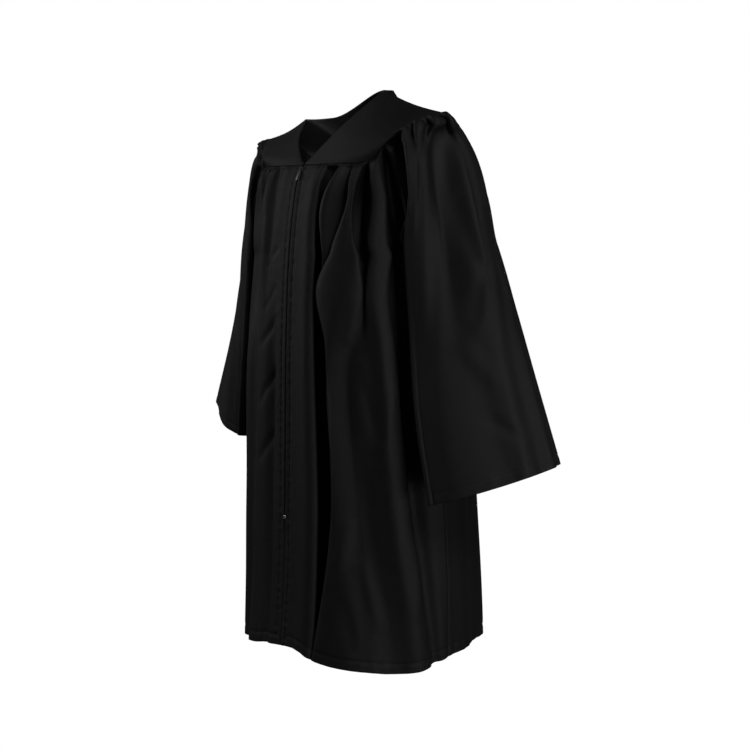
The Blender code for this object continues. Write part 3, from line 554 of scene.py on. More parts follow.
def back_seam_z(side, share):
    corner = np.where(side == LEFT, BACK_CORNER_Z[LEFT], BACK_CORNER_Z[RIGHT])
    return BACK_SEAM_Z + (corner - BACK_SEAM_Z) * fade((0.5 - share) / 0.5)


def hem_z(side, share):
    left, right = (curve_at(HEM["share"], HEM[name], share) for name in ("left_z", "right_z"))
    return np.where(side == LEFT, left, right)


def front_start(z):
    """Half of the gap between the front panels: wide at the slider, narrow over the chain, and a
    closed seam below it."""
    slider_end = ZIP_TOP_Z - SLIDER_HEIGHT - 0.002
    wide = ZIP_OPENING / 2 + 0.0004
    narrow = wide + (EDGE_GAP - wide) * fade((slider_end - z) / 0.016)
    below = CHAIN_END_Z - STOP_HEIGHT - z
    return SEAM_GAP / 2 + (narrow - SEAM_GAP / 2) * (1 - fade(below / 0.02))


def crease_relief(creases, size, places, falls):
    """Relief of soft troughs and ridges: each runs from one (place, fall) to another, its place a
    share of the panel's size across and its fall a share of its size down."""
    relief = np.zeros(np.broadcast(places, falls).shape)
    x = places * size[0]
    y = falls * size[1]
    for x0, y0, x1, y1, width, out in creases:
        ax, ay = x0 * size[0], y0 * size[1]
        dx, dy = x1 * size[0] - ax, y1 * size[1] - ay
        t = np.clip(((x - ax) * dx + (y - ay) * dy) / (dx ** 2 + dy ** 2), 0, 1)
        away = np.hypot(x - ax - t * dx, y - ay - t * dy)
        taper = np.sqrt(np.clip(4 * t * (1 - t), 0, 1))
        relief += out / 1000 * np.exp(-(away / (width / 1000)) ** 2) * taper
    return relief


def seam_puckers(run, wave, seed):
    """Uneven ripples of a sewn line along its run, from -1 to 1."""
    waves = ((1.0, 1.0, 1.0), (0.6, 1.73, 2.1), (0.4, 0.61, 1.3))
    return sum(part * np.sin(2 * math.pi * run / (wave * longer) + turn * seed)
               for part, longer, turn in waves) / 2.0


def hem_relief(above, run, wave=0.017):
    """A turned-up hem: a faint step, a sewn line that pulls in, and ripples below it."""
    line = -HEM_LINE_PULL * np.exp(-((above - HEM_DEPTH) / 0.0022) ** 2)
    near = bump((above - 0.6 * HEM_DEPTH) / (1.3 * HEM_DEPTH))
    return line + RIPPLE * seam_puckers(run, wave, 0.7) * near


def tuck(fall):
    """The top of a panel goes in under the yoke's edge."""
    return -SEAM_TUCK * (1 - fade((fall - 0.0002) / 0.0022))


def gathers(sizes, run, fall, seed, start=0.003):
    """Small puckers where cloth is gathered into a seam, at runs along it; they die out below it."""
    relief, length, reach = sizes
    near = fade(fall / start) * np.exp(-(np.maximum(fall, 0) / reach) ** 1.5)
    return relief * seam_puckers(run, length, seed) * near


def armhole_dip(side, z):
    """How far the armhole's seam lies back in the hollow between the front panel and the sleeve."""
    below = fade((FRONT_CORNER_Z[side] - z) / 0.025) * fade((z - UNDERARM_Z) / 0.05)
    return -ARMHOLE_DIP * HOLLOW_SHARE[side] * below


def front_net(side, ways, runs):
    """Grid of points of a front panel at these ways down and runs across the cut."""
    share, out = fold_net(FRONT_FOLDS[side], ways, runs)
    top = front_seam_z(side, share)
    bottom = hem_z(side, share * 0.5)
    z = top + (bottom - top) * ways[:, None]
    end = edge_share("front_share", z) * half_girth(z) - SEAM_GAP / 2
    start = front_start(z)
    run = start + share * (end - start)
    fall = top - z
    out = out * fade(fall / FRONT_FADE)
    out = out + crease_relief(FRONT_CREASES[side], FRONT_SIZE, share, ways[:, None])
    # Neither the cloth beside the zip nor that at the armhole is gathered
    first = 0.16 if side == LEFT else 0.12
    inside = fade((share - first) / 0.06) * fade((1 - share) / 0.04)
    out = out + gathers(FRONT_GATHERS, run, fall, 0.4 * side) * inside
    out = out + armhole_dip(side, z) * fade((share - 0.88) / 0.12)
    # The edge by the zip lifts and rolls over the teeth; the sewn line beside it pulls in and ripples
    lift = EDGE_LIFT * (1 - fade((run - 0.0024) / 0.006)) * (z > CHAIN_END_Z - 0.02)
    roll = -EDGE_ROLL * (1 - fade((run - start) / 0.0012))
    line = -ZIP_LINE_PULL * np.exp(-((run - STITCH_LINE) / 0.0016) ** 2)
    ripple = seam_puckers(z, 0.0125, 1.0 + side) * bump((run - STITCH_LINE) / 0.007)
    if side == LEFT:
        ripple = ripple + seam_puckers(z, 0.0062, 0.4) * bump((run - 0.0045) / 0.0035) * (lift > 0)
    out = out + lift + roll + line + RIPPLE * ripple
    out = out + hem_relief(z - bottom, run) * fade((run - 0.004) / 0.01)
    return mirrored(body_point(run, z, out + tuck(fall)), side)


def back_net(ways, runs):
    """Grid of points of the back panel, from the side seam on the wearer's right to the left one."""
    share, out = fold_net(BACK_FOLDS, ways, runs)
    side = np.where(share > 0.5, LEFT, RIGHT)
    inner = 1 - np.abs(2 * share - 1)
    top = back_seam_z(side, inner)
    bottom = hem_z(side, 0.5 + inner / 2)
    z = top + (bottom - top) * ways[:, None]
    start = edge_share("back_share", z) * half_girth(z) + SEAM_GAP / 2
    run = start + inner * (half_girth(z) - start)
    fall = top - z
    across = share * BACK_SIZE[0]
    out = out * fade(fall / BACK_FADE)
    out = out + crease_relief(BACK_CREASES, BACK_SIZE, share, ways[:, None])
    out = out + gathers(BACK_SMALL_GATHERS, across, fall, 2.2) * fade(inner / 0.05)
    out = out + hem_relief(z - bottom, across)
    points = body_point(run, z, out + tuck(fall))
    points[..., 0] *= side
    return points


def along_points(points, share):
    """Points at these shares of the length of a smooth curve through the points."""
    pts = np.array(points, float)
    chord = np.concatenate([[0], np.cumsum(np.linalg.norm(np.diff(pts, axis=0), axis=1))])
    return curve_at(chord, pts, np.asarray(share, float) * chord[-1])


def corner_point(side, name, z):
    out = armhole_dip(side, z) if name == "front_share" else 0.0
    return mirrored(body_point(edge_share(name, z) * half_girth(z), z, out), side)


def shoulder_end(side):
    return np.array([side * SHOULDER_HALF, SHOULDER_Y, SHOULDER_Z[side]])


def neck_end(side):
    return np.array([side * NECK_HALF, 0.0, NECK_Z[side]])


def shoulder_line(side, share):
    """The shoulder seam from the neck (0) to the arm (1)."""
    line = neck_end(side) + (shoulder_end(side) - neck_end(side)) * share[:, None]
    line[:, 2] -= SHOULDER_SAG * np.sin(math.pi * share)
    return line


YOKE_EDGES = {
    "front_share": (FRONT_CORNER_Z, YOKE_EDGE_FRONT),
    "back_share": (BACK_CORNER_Z, YOKE_EDGE_BACK),
}


def arm_edge(side, name):
    """Edge of the yoke over the arm, as a curve from the shoulder seam (0) to its front or its back
    corner (1)."""
    heights, between = YOKE_EDGES[name]
    points = [shoulder_end(side), *(mirrored(np.array(point), side) for point in between[side][::-1]),
              corner_point(side, name, heights[side])]
    return lambda v: along_points(points, v)


def armhole_points(side, turns):
    """Armhole: from the shoulder seam (0) down its front to the underarm (0.5) and up its back (1).
    The yoke's edge is the upper share of each half."""
    turns = np.mod(turns, 1.0)
    upper = 0.42
    result = np.zeros((len(turns), 3))
    halves = (("front_share", turns <= 0.5, turns * 2), ("back_share", turns > 0.5, (1 - turns) * 2))
    for name, chosen, share in halves:
        high = chosen & (share < upper)
        low = chosen & (share >= upper)
        result[high] = arm_edge(side, name)(share[high] / upper)
        top = YOKE_EDGES[name][0][side]
        z = top + (UNDERARM_Z - top) * (share[low] - upper) / (1 - upper)
        result[low] = corner_point(side, name, z)
    return result


def ring_points(side, number, turns):
    """Plain sleeve ring of the table."""
    ring = {name: values[number] for name, values in RINGS.items()}
    if side == RIGHT:
        for name in ("x", "y", "z", "turn"):
            ring[name] += RIGHT_SHIFTS[name][number]
    angle = 2 * math.pi * turns
    yaw = math.radians(ring["turn"])
    lean = math.radians(ring["lean"])
    front = np.array([-math.sin(yaw), -math.cos(yaw), -ring["rise"]])
    outer = np.array([math.cos(yaw) * math.sin(lean), -math.sin(yaw) * math.sin(lean), math.cos(lean)])
    middle = np.array([ring["x"], ring["y"], ring["z"]])
    round_parts = (np.cos(angle), np.sin(angle))
    across, ahead = (np.sign(part) * np.abs(part) ** ring["square"] for part in round_parts)
    across = across * ring["short"]
    across = np.where(across < 0, across * ring["inner"], across)
    return mirrored(middle + across[:, None] * outer + (ahead * ring["long"])[:, None] * front, side)


def stand_value(name, turns):
    return np.interp(np.mod(turns, 1.0), STAND["turn"], STAND[name])


def stand_points(side, turns):
    """Where the sleeve stands clear of the armhole, before it falls."""
    down = stand_value("down", turns)
    away = np.stack([0.85 + 0 * turns, -0.5 * np.sin(2 * math.pi * turns), -down], axis=-1)
    away = away / np.linalg.norm(away, axis=-1, keepdims=True) * stand_value("reach", turns)[:, None]
    return armhole_points(side, turns) + mirrored(away, side)


SLEEVE_STEPS = 720


def sleeve_lines(side):
    """Armhole, stand and rings of a sleeve as rows of points, with the slope down at each."""
    turns = np.linspace(0, 1, SLEEVE_STEPS + 1)[:-1]
    rows = [armhole_points(side, turns), stand_points(side, turns)]
    rows += [ring_points(side, i, turns) for i in range(len(RINGS["way"]))]
    ways = np.array([0.0, STAND_WAY, *RINGS["way"]])
    return ways, np.array(rows), np.gradient(np.array(rows), ways, axis=0)


SLEEVE_LINES = {side: sleeve_lines(side) for side in (LEFT, RIGHT)}


def plain_sleeve(side, turns, ways):
    """Sleeve without folds at these turns and ways."""
    line_ways, knots, slopes = SLEEVE_LINES[side]
    ways = np.clip(ways, 0.0, 1.0)
    i = np.clip(np.searchsorted(line_ways, ways) - 1, 0, len(line_ways) - 2)
    col = np.mod(turns, 1.0) * SLEEVE_STEPS
    j = col.astype(int) % SLEEVE_STEPS
    k = (j + 1) % SLEEVE_STEPS
    q = (col - np.floor(col))[..., None]

    def at(values, row):
        return values[row, j] * (1 - q) + values[row, k] * q
    h = (line_ways[i + 1] - line_ways[i])[..., None]
    p = (ways - line_ways[i])[..., None] / h
    return cubic(p, h, at(knots, i), at(knots, i + 1), at(slopes, i), at(slopes, i + 1))


def armhole_hollow(side, turn, ways):
    """How far the front of a sleeve falls back below the yoke's corner."""
    middle, half, depth = (np.interp(ways, HOLLOW["way"], HOLLOW[name])
                           for name in ("turn", "half", "depth"))
    return HOLLOW_SHARE[side] * depth * bump((turn - middle) / half)


def sleeve_net(side, ways, runs):
    """Grid of points of a sleeve at these ways from armhole to cuff and runs round its cut."""
    rows = ways[:, None] + np.zeros((len(ways), len(runs)))
    turn, out = fold_net(SLEEVE_FOLDS, ways, runs)
    start = STAND_WAY * SLEEVE_PULL / stand_value("reach", turn)
    way = start + (1 - start) * rows
    step = 0.01
    around = plain_sleeve(side, turn + step, way) - plain_sleeve(side, turn - step, way)
    down = plain_sleeve(side, turn, way + step) - plain_sleeve(side, turn, way - step)
    face = np.cross(around, down) * side
    face = face / np.linalg.norm(face, axis=-1, keepdims=True)
    relief = out * fade(way / 0.025)
    for shifted in (-1, 0, 1):
        relief = relief + crease_relief(SLEEVE_CREASES[side], SLEEVE_SIZE, turn + shifted, rows)
    # Only the cap, over the shoulder, is gathered
    cap = fade((0.33 - np.abs(turn - np.round(turn))) / 0.1)
    relief = relief + gathers(SLEEVE_GATHERS, turn * 0.40, rows, 0.9 * side, 0.006) * cap
    # The main ripple runs a whole number of times round the cuff
    width, drop = SLEEVE_SIZE
    relief = relief + 0.6 * hem_relief((1 - rows) * drop, turn * width, width / CUFF_RIPPLES)
    back = np.array([0, 1, 0]) * armhole_hollow(side, turn, rows)[..., None]
    return plain_sleeve(side, turn, way) + face * relief[..., None] + back


def patch_net(low, high, start, end, us, vs):
    """Surface spanned by four border curves: low and high run with u at v = 0 and 1, start and end
    run with v at u = 0 and 1."""
    u = us[None, :, None]
    v = vs[:, None, None]
    low_u, high_u = low(us)[None], high(us)[None]
    start_v, end_v = start(vs)[:, None], end(vs)[:, None]
    ends = np.array([0.0, 1.0])
    low_0, low_1 = low(ends)
    high_0, high_1 = high(ends)
    corners = (1 - u) * (1 - v) * low_0 + u * (1 - v) * low_1 + (1 - u) * v * high_0 + u * v * high_1
    return (1 - v) * low_u + v * high_u + (1 - u) * start_v + u * end_v - corners


def yoke_front_net(side, us, vs):
    """Front yoke: u from the neckline to the arm, v from the shoulder to the lower seam."""
    def seam(u):
        z = front_seam_z(side, u)
        end = edge_share("front_share", z) * half_girth(z)
        run = ZIP_OPENING / 2 + u * (end - ZIP_OPENING / 2)
        return mirrored(body_point(run, z, 0.0), side)

    def neckline(v):
        lower = seam(np.array([0.0]))[0]
        middle = (neck_end(side) + lower) / 2 + np.array([side * 0.004, -0.008, 0.001])
        return along_points([neck_end(side), middle, lower], v)

    return patch_net(lambda u: shoulder_line(side, u), seam, neckline, arm_edge(side, "front_share"), us, vs)


def yoke_back_net(us, vs):
    """Back yoke: u from the wearer's right arm to the left, v from its top to the lower seam."""
    neck_share = 0.5 - 0.5 * NECK_HALF / SHOULDER_HALF

    def top(u):
        turn = np.clip(math.pi * (u - neck_share) / (1 - 2 * neck_share), 0, math.pi)
        z = (NECK_Z[RIGHT] + (NECK_Z[LEFT] - NECK_Z[RIGHT]) * fade((turn - 0.7) / 1.3)
             + BACK_NECK_RISE * np.sin(turn) ** 2)
        points = np.stack([-NECK_HALF * np.cos(turn), BACK_NECK_Y * np.sin(turn) ** 0.8, z], axis=-1)
        for side, inner in ((LEFT, 1 - u), (RIGHT, u)):
            on = inner < neck_share
            points[on] = shoulder_line(side, 1 - inner[on] / neck_share)
        return points

    def seam(u):
        side = np.where(u > 0.5, LEFT, RIGHT)
        inner = 1 - np.abs(2 * u - 1)
        z = back_seam_z(side, inner)
        start = edge_share("back_share", z) * half_girth(z)
        points = body_point(start + inner * (half_girth(z) - start), z, 0.0)
        points[:, 0] *= side
        return points

    right_arm, left_arm = (arm_edge(side, "back_share") for side in (RIGHT, LEFT))
    return patch_net(top, seam, right_arm, left_arm, us, vs)


def surface(points, closed, middle):
    """Unit normals of a grid of points that point away from the middle, and whether its rows and
    columns run the other way round."""
    if closed:
        wide = np.concatenate([points[:, -1:], points, points[:, :1]], axis=1)
        across = np.gradient(wide, axis=1)[:, 1:-1]
    else:
        across = np.gradient(points, axis=1)
    down = np.gradient(points, axis=0)
    normals = np.cross(down, across)
    normals /= np.maximum(np.linalg.norm(normals, axis=-1, keepdims=True), 1e-12)
    flipped = float(np.sum(normals * (points - middle))) < 0
    return (-normals if flipped else normals), flipped


def placed(name, data, material=None):
    """A new object in the scene, unturned at the origin."""
    if material:
        data.materials.append(material)
    piece = bpy.data.objects.new(name, data)
    bpy.context.scene.collection.objects.link(piece)
    return piece


def smooth(mesh):
    mesh.polygons.foreach_set("use_smooth", np.ones(len(mesh.polygons), bool))


def applied(piece):
    """The piece with its modifiers made part of its mesh."""
    view = bpy.context.evaluated_depsgraph_get()
    mesh = bpy.data.meshes.new_from_object(piece.evaluated_get(view))
    piece.modifiers.clear()
    piece.data = mesh
    smooth(mesh)
    return piece


def new_object(name, vertices, faces, material, uvs):
    """A smooth object from its points, its quads and each quad's place on the cut."""
    mesh = bpy.data.meshes.new(name)
    mesh.vertices.add(len(vertices))
    mesh.vertices.foreach_set("co", np.ascontiguousarray(vertices, np.float32).ravel())
    counts = np.array([len(part[0]) for part in faces for _ in range(len(part))])
    loops = np.concatenate([part.ravel() for part in faces])
    mesh.loops.add(len(loops))
    mesh.loops.foreach_set("vertex_index", loops.astype(np.int32))
    mesh.polygons.add(len(counts))
    starts = np.concatenate([[0], np.cumsum(counts)[:-1]])
    mesh.polygons.foreach_set("loop_start", starts.astype(np.int32))
    layer = mesh.uv_layers.new(name="cut")
    flat = np.concatenate([part.reshape(-1, 2) for part in uvs])
    layer.data.foreach_set("uv", flat.astype(np.float32).ravel())
    mesh.update(calc_edges=True)
    mesh.validate()
    smooth(mesh)
    return placed(name, mesh, material)


def cloth_shell(name, points, params, thickness, material, middle, closed=False):
    """A thin closed shell of cloth round a grid of points, with rounded raw edges. Its UV map is in
    metres along the cut, so that the weave keeps its size."""
    rows, columns = points.shape[:2]
    normals, flipped = surface(points, closed, middle)
    half = thickness / 2
    outer = points + normals * half
    inner = points - normals * half
    index = np.arange(rows * columns).reshape(rows, columns)
    left = index if closed else index[:, :-1]
    right = np.roll(index, -1, axis=1) if closed else index[:, 1:]
    quads = np.stack([left[:-1], left[1:], right[1:], right[:-1]], axis=-1).reshape(-1, 4)
    steps = np.linalg.norm(np.diff(points, axis=0), axis=-1).mean(axis=1)
    falls = np.concatenate([[0], np.cumsum(steps)])
    u0, v0 = np.meshgrid(params[:-1], falls[:-1])
    u1, v1 = np.meshgrid(params[1:], falls[1:])
    uv = np.stack([np.stack([u0, v0], -1), np.stack([u0, v1], -1), np.stack([u1, v1], -1),
                   np.stack([u1, v0], -1)], axis=2).reshape(-1, 4, 2)
    count = rows * columns
    down = np.gradient(points, axis=0)
    down /= np.maximum(np.linalg.norm(down, axis=-1, keepdims=True), 1e-12)
    if closed:
        loops = [(index[0], -down[0]), (index[-1, ::-1], down[-1, ::-1])]
    else:
        across = np.gradient(points, axis=1)
        across /= np.maximum(np.linalg.norm(across, axis=-1, keepdims=True), 1e-12)
        ring = np.concatenate([index[0, :-1], index[:-1, -1], index[-1, :0:-1], index[:0:-1, 0]])
        away = np.concatenate([-down[0, :-1], across[:-1, -1], down[-1, :0:-1], -across[:0:-1, 0]])
        loops = [(ring, away)]
    vertices = [outer.reshape(-1, 3), inner.reshape(-1, 3)]
    faces = [quads, quads[:, ::-1] + count]
    uvs = [uv, uv[:, ::-1]]
    at = 2 * count
    flat = points.reshape(-1, 3)
    place_u = np.broadcast_to(params[:columns], (rows, columns)).ravel()
    place_v = np.repeat(falls, columns)
    for ring, away in loops:
        vertices.append(flat[ring] + away * half)
        rim = at + np.arange(len(ring))
        at += len(ring)
        after = np.roll(ring, -1)
        rim_after = np.roll(rim, -1)
        faces.append(np.stack([ring, after, rim_after, rim], axis=-1))
        faces.append(np.stack([rim, rim_after, after + count, ring + count], axis=-1))
        here = np.stack([place_u[ring], place_v[ring]], -1)
        there = np.stack([place_u[after], place_v[after]], -1)
        uvs += [np.stack([here, there, there, here], axis=1)] * 2
    if flipped:
        faces = [part[:, ::-1] for part in faces]
        uvs = [part[:, ::-1] for part in uvs]
    return new_object(name, np.concatenate(vertices), faces, material, uvs)


def linear(code):
    """sRGB hex to linear RGBA."""
    values = [int(code[i:i + 2], 16) / 255 for i in (1, 3, 5)]
    return [v / 12.92 if v <= 0.04045 else ((v + 0.055) / 1.055) ** 2.4 for v in values] + [1.0]


def add(tree, kind, links=None, label="", **settings):
    """Adds a node: settings go to its properties or, where it has none of that name, its inputs;
    links give each input's source socket by the input's name or number."""
    node = tree.nodes.new(kind)
    node.label = label
    for key, value in settings.items():
        if hasattr(node, key):
            setattr(node, key, value)
        else:
            node.inputs[key.replace("_", " ")].default_value = value
    for key, source in (links or {}).items():
        tree.links.new(source, node.inputs[key])
    return node


def math_node(tree, operation, first, second=None, label=""):
    """Arithmetic on sockets or plain numbers."""
    node = add(tree, "ShaderNodeMath", {}, label, operation=operation)
    for i, value in enumerate((first, second)):
        if isinstance(value, bpy.types.NodeSocket):
            tree.links.new(value, node.inputs[i])
        elif value is not None:
            node.inputs[i].default_value = value
    return node.outputs[0]


def ranged(tree, value, label, low, high, start=0.0, end=1.0):
    """The value mapped from low..high to start..end."""
    return add(tree, "ShaderNodeMapRange", {"Value": value}, label, From_Min=low, From_Max=high,
               To_Min=start, To_Max=end).outputs["Result"]


def toned(tree, share, dark, light):
    """A colour between two sRGB hex tones."""
    node = add(tree, "ShaderNodeMix", {"Factor": share}, data_type="RGBA")
    node.inputs[6].default_value = linear(dark)
    node.inputs[7].default_value = linear(light)
    return node.outputs[2]


def new_material(name, color, roughness, metallic=0.0, specular=0.5):
    material = bpy.data.materials.new(name)
    material.use_nodes = True
    tree = material.node_tree
    shader = tree.nodes["Principled BSDF"]
    shader.inputs["Base Color"].default_value = linear(color)
    shader.inputs["Roughness"].default_value = roughness
    shader.inputs["Metallic"].default_value = metallic
    shader.inputs["Specular IOR Level"].default_value = specular
    return material, tree, shader


def worn_material(name, dark, light, roughness, metallic, patch, grain, depth):
    """Thread, moulded nylon or plated metal: patches that handling has rubbed lighter and smoother,
    over a fine grain. Patch and grain are their sizes in metres."""
    material, tree, shader = new_material(name, dark, roughness, metallic)
    place = add(tree, "ShaderNodeTexCoord").outputs["Object"]
    rubbed = add(tree, "ShaderNodeTexNoise", {"Vector": place}, "handling", Scale=1 / patch, Detail=3.0,
                 Roughness=0.6)
    share = ranged(tree, rubbed.outputs["Fac"], "rubbed share", 0.35, 0.65)
    tree.links.new(toned(tree, share, dark, light), shader.inputs["Base Color"])
    rough = ranged(tree, share, "rubbed smooth", 0.0, 1.0, roughness + 0.07, roughness - 0.09)
    tree.links.new(rough, shader.inputs["Roughness"])
    fine = add(tree, "ShaderNodeTexNoise", {"Vector": place}, "grain", Scale=1 / grain, Detail=2.0)
    relief = add(tree, "ShaderNodeBump", {"Height": fine.outputs["Fac"]}, Strength=1.0, Distance=depth)
    tree.links.new(relief.outputs["Normal"], shader.inputs["Normal"])
    return material


def woven_material(name, dark, light, roughness, thread, depth, crumple):
    """Plain weave: two crossing thread waves on the cut's UV map, a faint tone change from wear and
    handling in patches of about 2 cm, and low crumples of about 4 cm, longer down the cloth."""
    material, tree, shader = new_material(name, dark, roughness, specular=0.16)
    cut = add(tree, "ShaderNodeUVMap", uv_map="cut")
    parts = add(tree, "ShaderNodeSeparateXYZ", {"Vector": cut.outputs["UV"]})
    waves = []
    for axis in ("X", "Y"):
        angle = math_node(tree, "MULTIPLY", parts.outputs[axis], 2 * math.pi / thread, "thread count")
        waves.append(math_node(tree, "SINE", angle))
    cross = math_node(tree, "MULTIPLY", *waves, "over and under")
    place = add(tree, "ShaderNodeTexCoord").outputs["Object"]
    slub = add(tree, "ShaderNodeTexNoise", {"Vector": place}, "handling", Scale=55.0, Detail=4.0,
               Roughness=0.6).outputs["Fac"]
    tone = toned(tree, ranged(tree, slub, "tone change", 0.3, 0.7), dark, light)
    tree.links.new(tone, shader.inputs["Base Color"])
    rough = ranged(tree, slub, "rubbed and dull", 0.0, 1.0, roughness - 0.08, roughness + 0.08)
    tree.links.new(rough, shader.inputs["Roughness"])
    hang = add(tree, "ShaderNodeMapping", {"Vector": place}, "longer down the cloth", Scale=(1, 1, 0.35))
    low = add(tree, "ShaderNodeTexNoise", {"Vector": hang.outputs["Vector"]}, "crumples", Scale=26.0,
              Detail=3.0, Roughness=0.5, Distortion=0.6)
    soft = add(tree, "ShaderNodeBump", {"Height": low.outputs["Fac"]}, Strength=1.0, Distance=crumple)
    weave = add(tree, "ShaderNodeBump", {"Height": cross, "Normal": soft.outputs["Normal"]}, Strength=1.0,
                Distance=depth)
    tree.links.new(weave.outputs["Normal"], shader.inputs["Normal"])
    return material


def arranged(ends, steps):
    """Values from one end to the next, in so many steps each."""
    values = [np.linspace(a, b, n + 1)[:-1] for a, b, n in zip(ends, ends[1:], steps)]
    return np.concatenate(values + [[ends[-1]]])


def upright_line(points):
    """For each point, the one at its height on an upright line through the middle of the body."""
    return np.array([0.0, BODY_MIDDLE_Y, 0.0]) + points * np.array([0, 0, 1])


def build_cloth(fabric):
    """The eight cut panels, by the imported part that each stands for. Their points lie closer at the
    seams, at the hems and beside the zip, where the cloth bends most."""
    pieces = {}
    ways = arranged((-0.006, 0.0, 0.018, 0.10, 0.90, 0.975, 1.0), (3, 10, 26, 170, 20, 10))
    by_zip = arranged((0.0, 0.0015, 0.0035, 0.0085, 0.0105, 0.026), (3, 2, 4, 4, 8))
    for side, word in SIDES:
        runs = np.concatenate([by_zip[:-1], np.linspace(by_zip[-1], FRONT_FOLDS[side]["length"], 92)])
        points = front_net(side, ways, runs)
        pieces["front_" + word] = cloth_shell("front_panel_" + word, points, runs, CLOTH, fabric,
                                              upright_line(points))
    runs = np.linspace(0, BACK_FOLDS["length"], 200)
    points = back_net(ways, runs)
    pieces["back"] = cloth_shell("back_panel", points, runs, CLOTH, fabric, upright_line(points))
    ways = arranged((0.0, 0.02, 0.30, 0.93, 0.97, 1.0), (8, 44, 78, 12, 10))
    runs = np.linspace(0, SLEEVE_FOLDS["length"], 169)
    for side, word in SIDES:
        points = sleeve_net(side, ways, runs[:-1])
        middle = points.mean(axis=1, keepdims=True)
        pieces["sleeve_" + word] = cloth_shell("sleeve_tube_" + word, points, runs, CLOTH, fabric, middle,
                                               closed=True)
    us = np.linspace(0.0, 1.0, 46)
    for side, word in SIDES:
        points = yoke_front_net(side, us, np.linspace(0.0, 1.0, 42))
        middle = np.array([0.0, BODY_MIDDLE_Y, -0.2])
        pieces["yoke_front_" + word] = cloth_shell("yoke_panel_front_" + word, points,
                                                   us * YOKE_FRONT_WIDTH, YOKE_CLOTH, fabric, middle)
    us = np.linspace(0.0, 1.0, 111)
    points = yoke_back_net(us, np.linspace(0.0, 1.0, 44))
    pieces["yoke_back"] = cloth_shell("yoke_panel_back", points, us * YOKE_BACK_WIDTH, YOKE_CLOTH, fabric,
                                      np.array([0.0, 0.0, -0.2]))
    return pieces


def zip_frame(z):
    """Places (x, down, out) by the slope of the front at this height of the zip line."""
    step = 0.004
    slope = float(section_value("front_y", z - step) - section_value("front_y", z + step)) / (2 * step)
    length = math.hypot(slope, 1)
    down = np.array([0, slope, -1]) / length
    out = np.array([0, -1, -slope]) / length
    middle = np.array([0, float(section_value("front_y", z)), z])

    def place(x, along, away):
        return middle + np.array([x, 0, 0]) + down * along + out * away
    return place


def zip_line(out, top, bottom):
    """Points every 4 mm down the middle of the zip, this far in front of the cloth's plain face."""
    heights = np.linspace(top, bottom, int((top - bottom) / 0.004))
    return np.array([zip_frame(z)(0.0, 0.0, out) for z in heights])


def row_tree(name, material, lie):
    """Geometry nodes that set small rounded bodies along lines, and their inputs by name."""
    tree = bpy.data.node_groups.new(name + "_rows", "GeometryNodeTree")
    tree.interface.new_socket("Lines", in_out="INPUT", socket_type="NodeSocketGeometry")
    sockets = {}
    for key in ("Pitch", "Length", "Thickness", "Stagger"):
        sockets[key] = tree.interface.new_socket(key, in_out="INPUT", socket_type="NodeSocketFloat")
    tree.interface.new_socket("Rows", in_out="OUTPUT", socket_type="NodeSocketGeometry")
    given = add(tree, "NodeGroupInput").outputs
    curves = add(tree, "GeometryNodeMeshToCurve", {"Mesh": given["Lines"]})
    even = add(tree, "GeometryNodeResampleCurve", {"Curve": curves.outputs[0], "Length": given["Pitch"]},
               mode="LENGTH")
    half = math_node(tree, "MULTIPLY", given["Length"], 0.5)
    thin = math_node(tree, "MULTIPLY", given["Thickness"], 0.5)
    ball = add(tree, "GeometryNodeMeshUVSphere", Segments=6, Rings=5, Radius=1.0)
    size = add(tree, "ShaderNodeCombineXYZ", {"X": thin, "Y": thin, "Z": half})
    body = add(tree, "GeometryNodeTransform", {"Geometry": ball.outputs["Mesh"], "Scale": size.outputs[0]})
    if lie == "along":
        tangent = add(tree, "GeometryNodeInputTangent")
        turn = add(tree, "FunctionNodeAlignRotationToVector", {"Vector": tangent.outputs[0]}, axis="Z")
    else:
        turn = add(tree, "FunctionNodeAlignRotationToVector", axis="Z", Vector=(1, 0, 0))
    index = add(tree, "GeometryNodeInputIndex")
    parity = math_node(tree, "MODULO", index.outputs[0], 2.0, "every other one")
    swing = math_node(tree, "SUBTRACT", parity, 0.5)
    shift = math_node(tree, "MULTIPLY", swing, given["Stagger"])
    aside = add(tree, "ShaderNodeCombineXYZ", {"X": shift})
    moved = add(tree, "GeometryNodeSetPosition", {"Geometry": even.outputs[0], "Offset": aside.outputs[0]})
    rows = add(tree, "GeometryNodeInstanceOnPoints", {
        "Points": moved.outputs[0], "Instance": body.outputs[0], "Rotation": turn.outputs["Rotation"]})
    real = add(tree, "GeometryNodeRealizeInstances", {0: rows.outputs[0]})
    rounded = add(tree, "GeometryNodeSetShadeSmooth", {0: real.outputs[0]})
    painted = add(tree, "GeometryNodeSetMaterial", {"Geometry": rounded.outputs[0]}, Material=material)
    add(tree, "NodeGroupOutput", {0: painted.outputs[0]})
    return tree, sockets


def repeated_along(name, lines, material, pitch, length, thickness, lie="along", stagger=0.0):
    """Small rounded bodies at an even pitch along open lines, as stitches or zip teeth are."""
    mesh = bpy.data.meshes.new(name)
    edges = []
    at = 0
    for line in lines:
        edges += [(at + i, at + i + 1) for i in range(len(line) - 1)]
        at += len(line)
    mesh.from_pydata([tuple(p) for p in np.concatenate(lines)], edges, [])
    piece = placed(name, mesh)
    tree, sockets = row_tree(name, material, lie)
    maker = piece.modifiers.new("rows", "NODES")
    maker.node_group = tree
    given = {"Pitch": pitch, "Length": length, "Thickness": thickness, "Stagger": stagger}
    for key, value in given.items():
        maker[sockets[key].identifier] = value
    return applied(piece)


def mesh_from(bm, name):
    mesh = bpy.data.meshes.new(name)
    bm.to_mesh(mesh)
    bm.free()
    return mesh


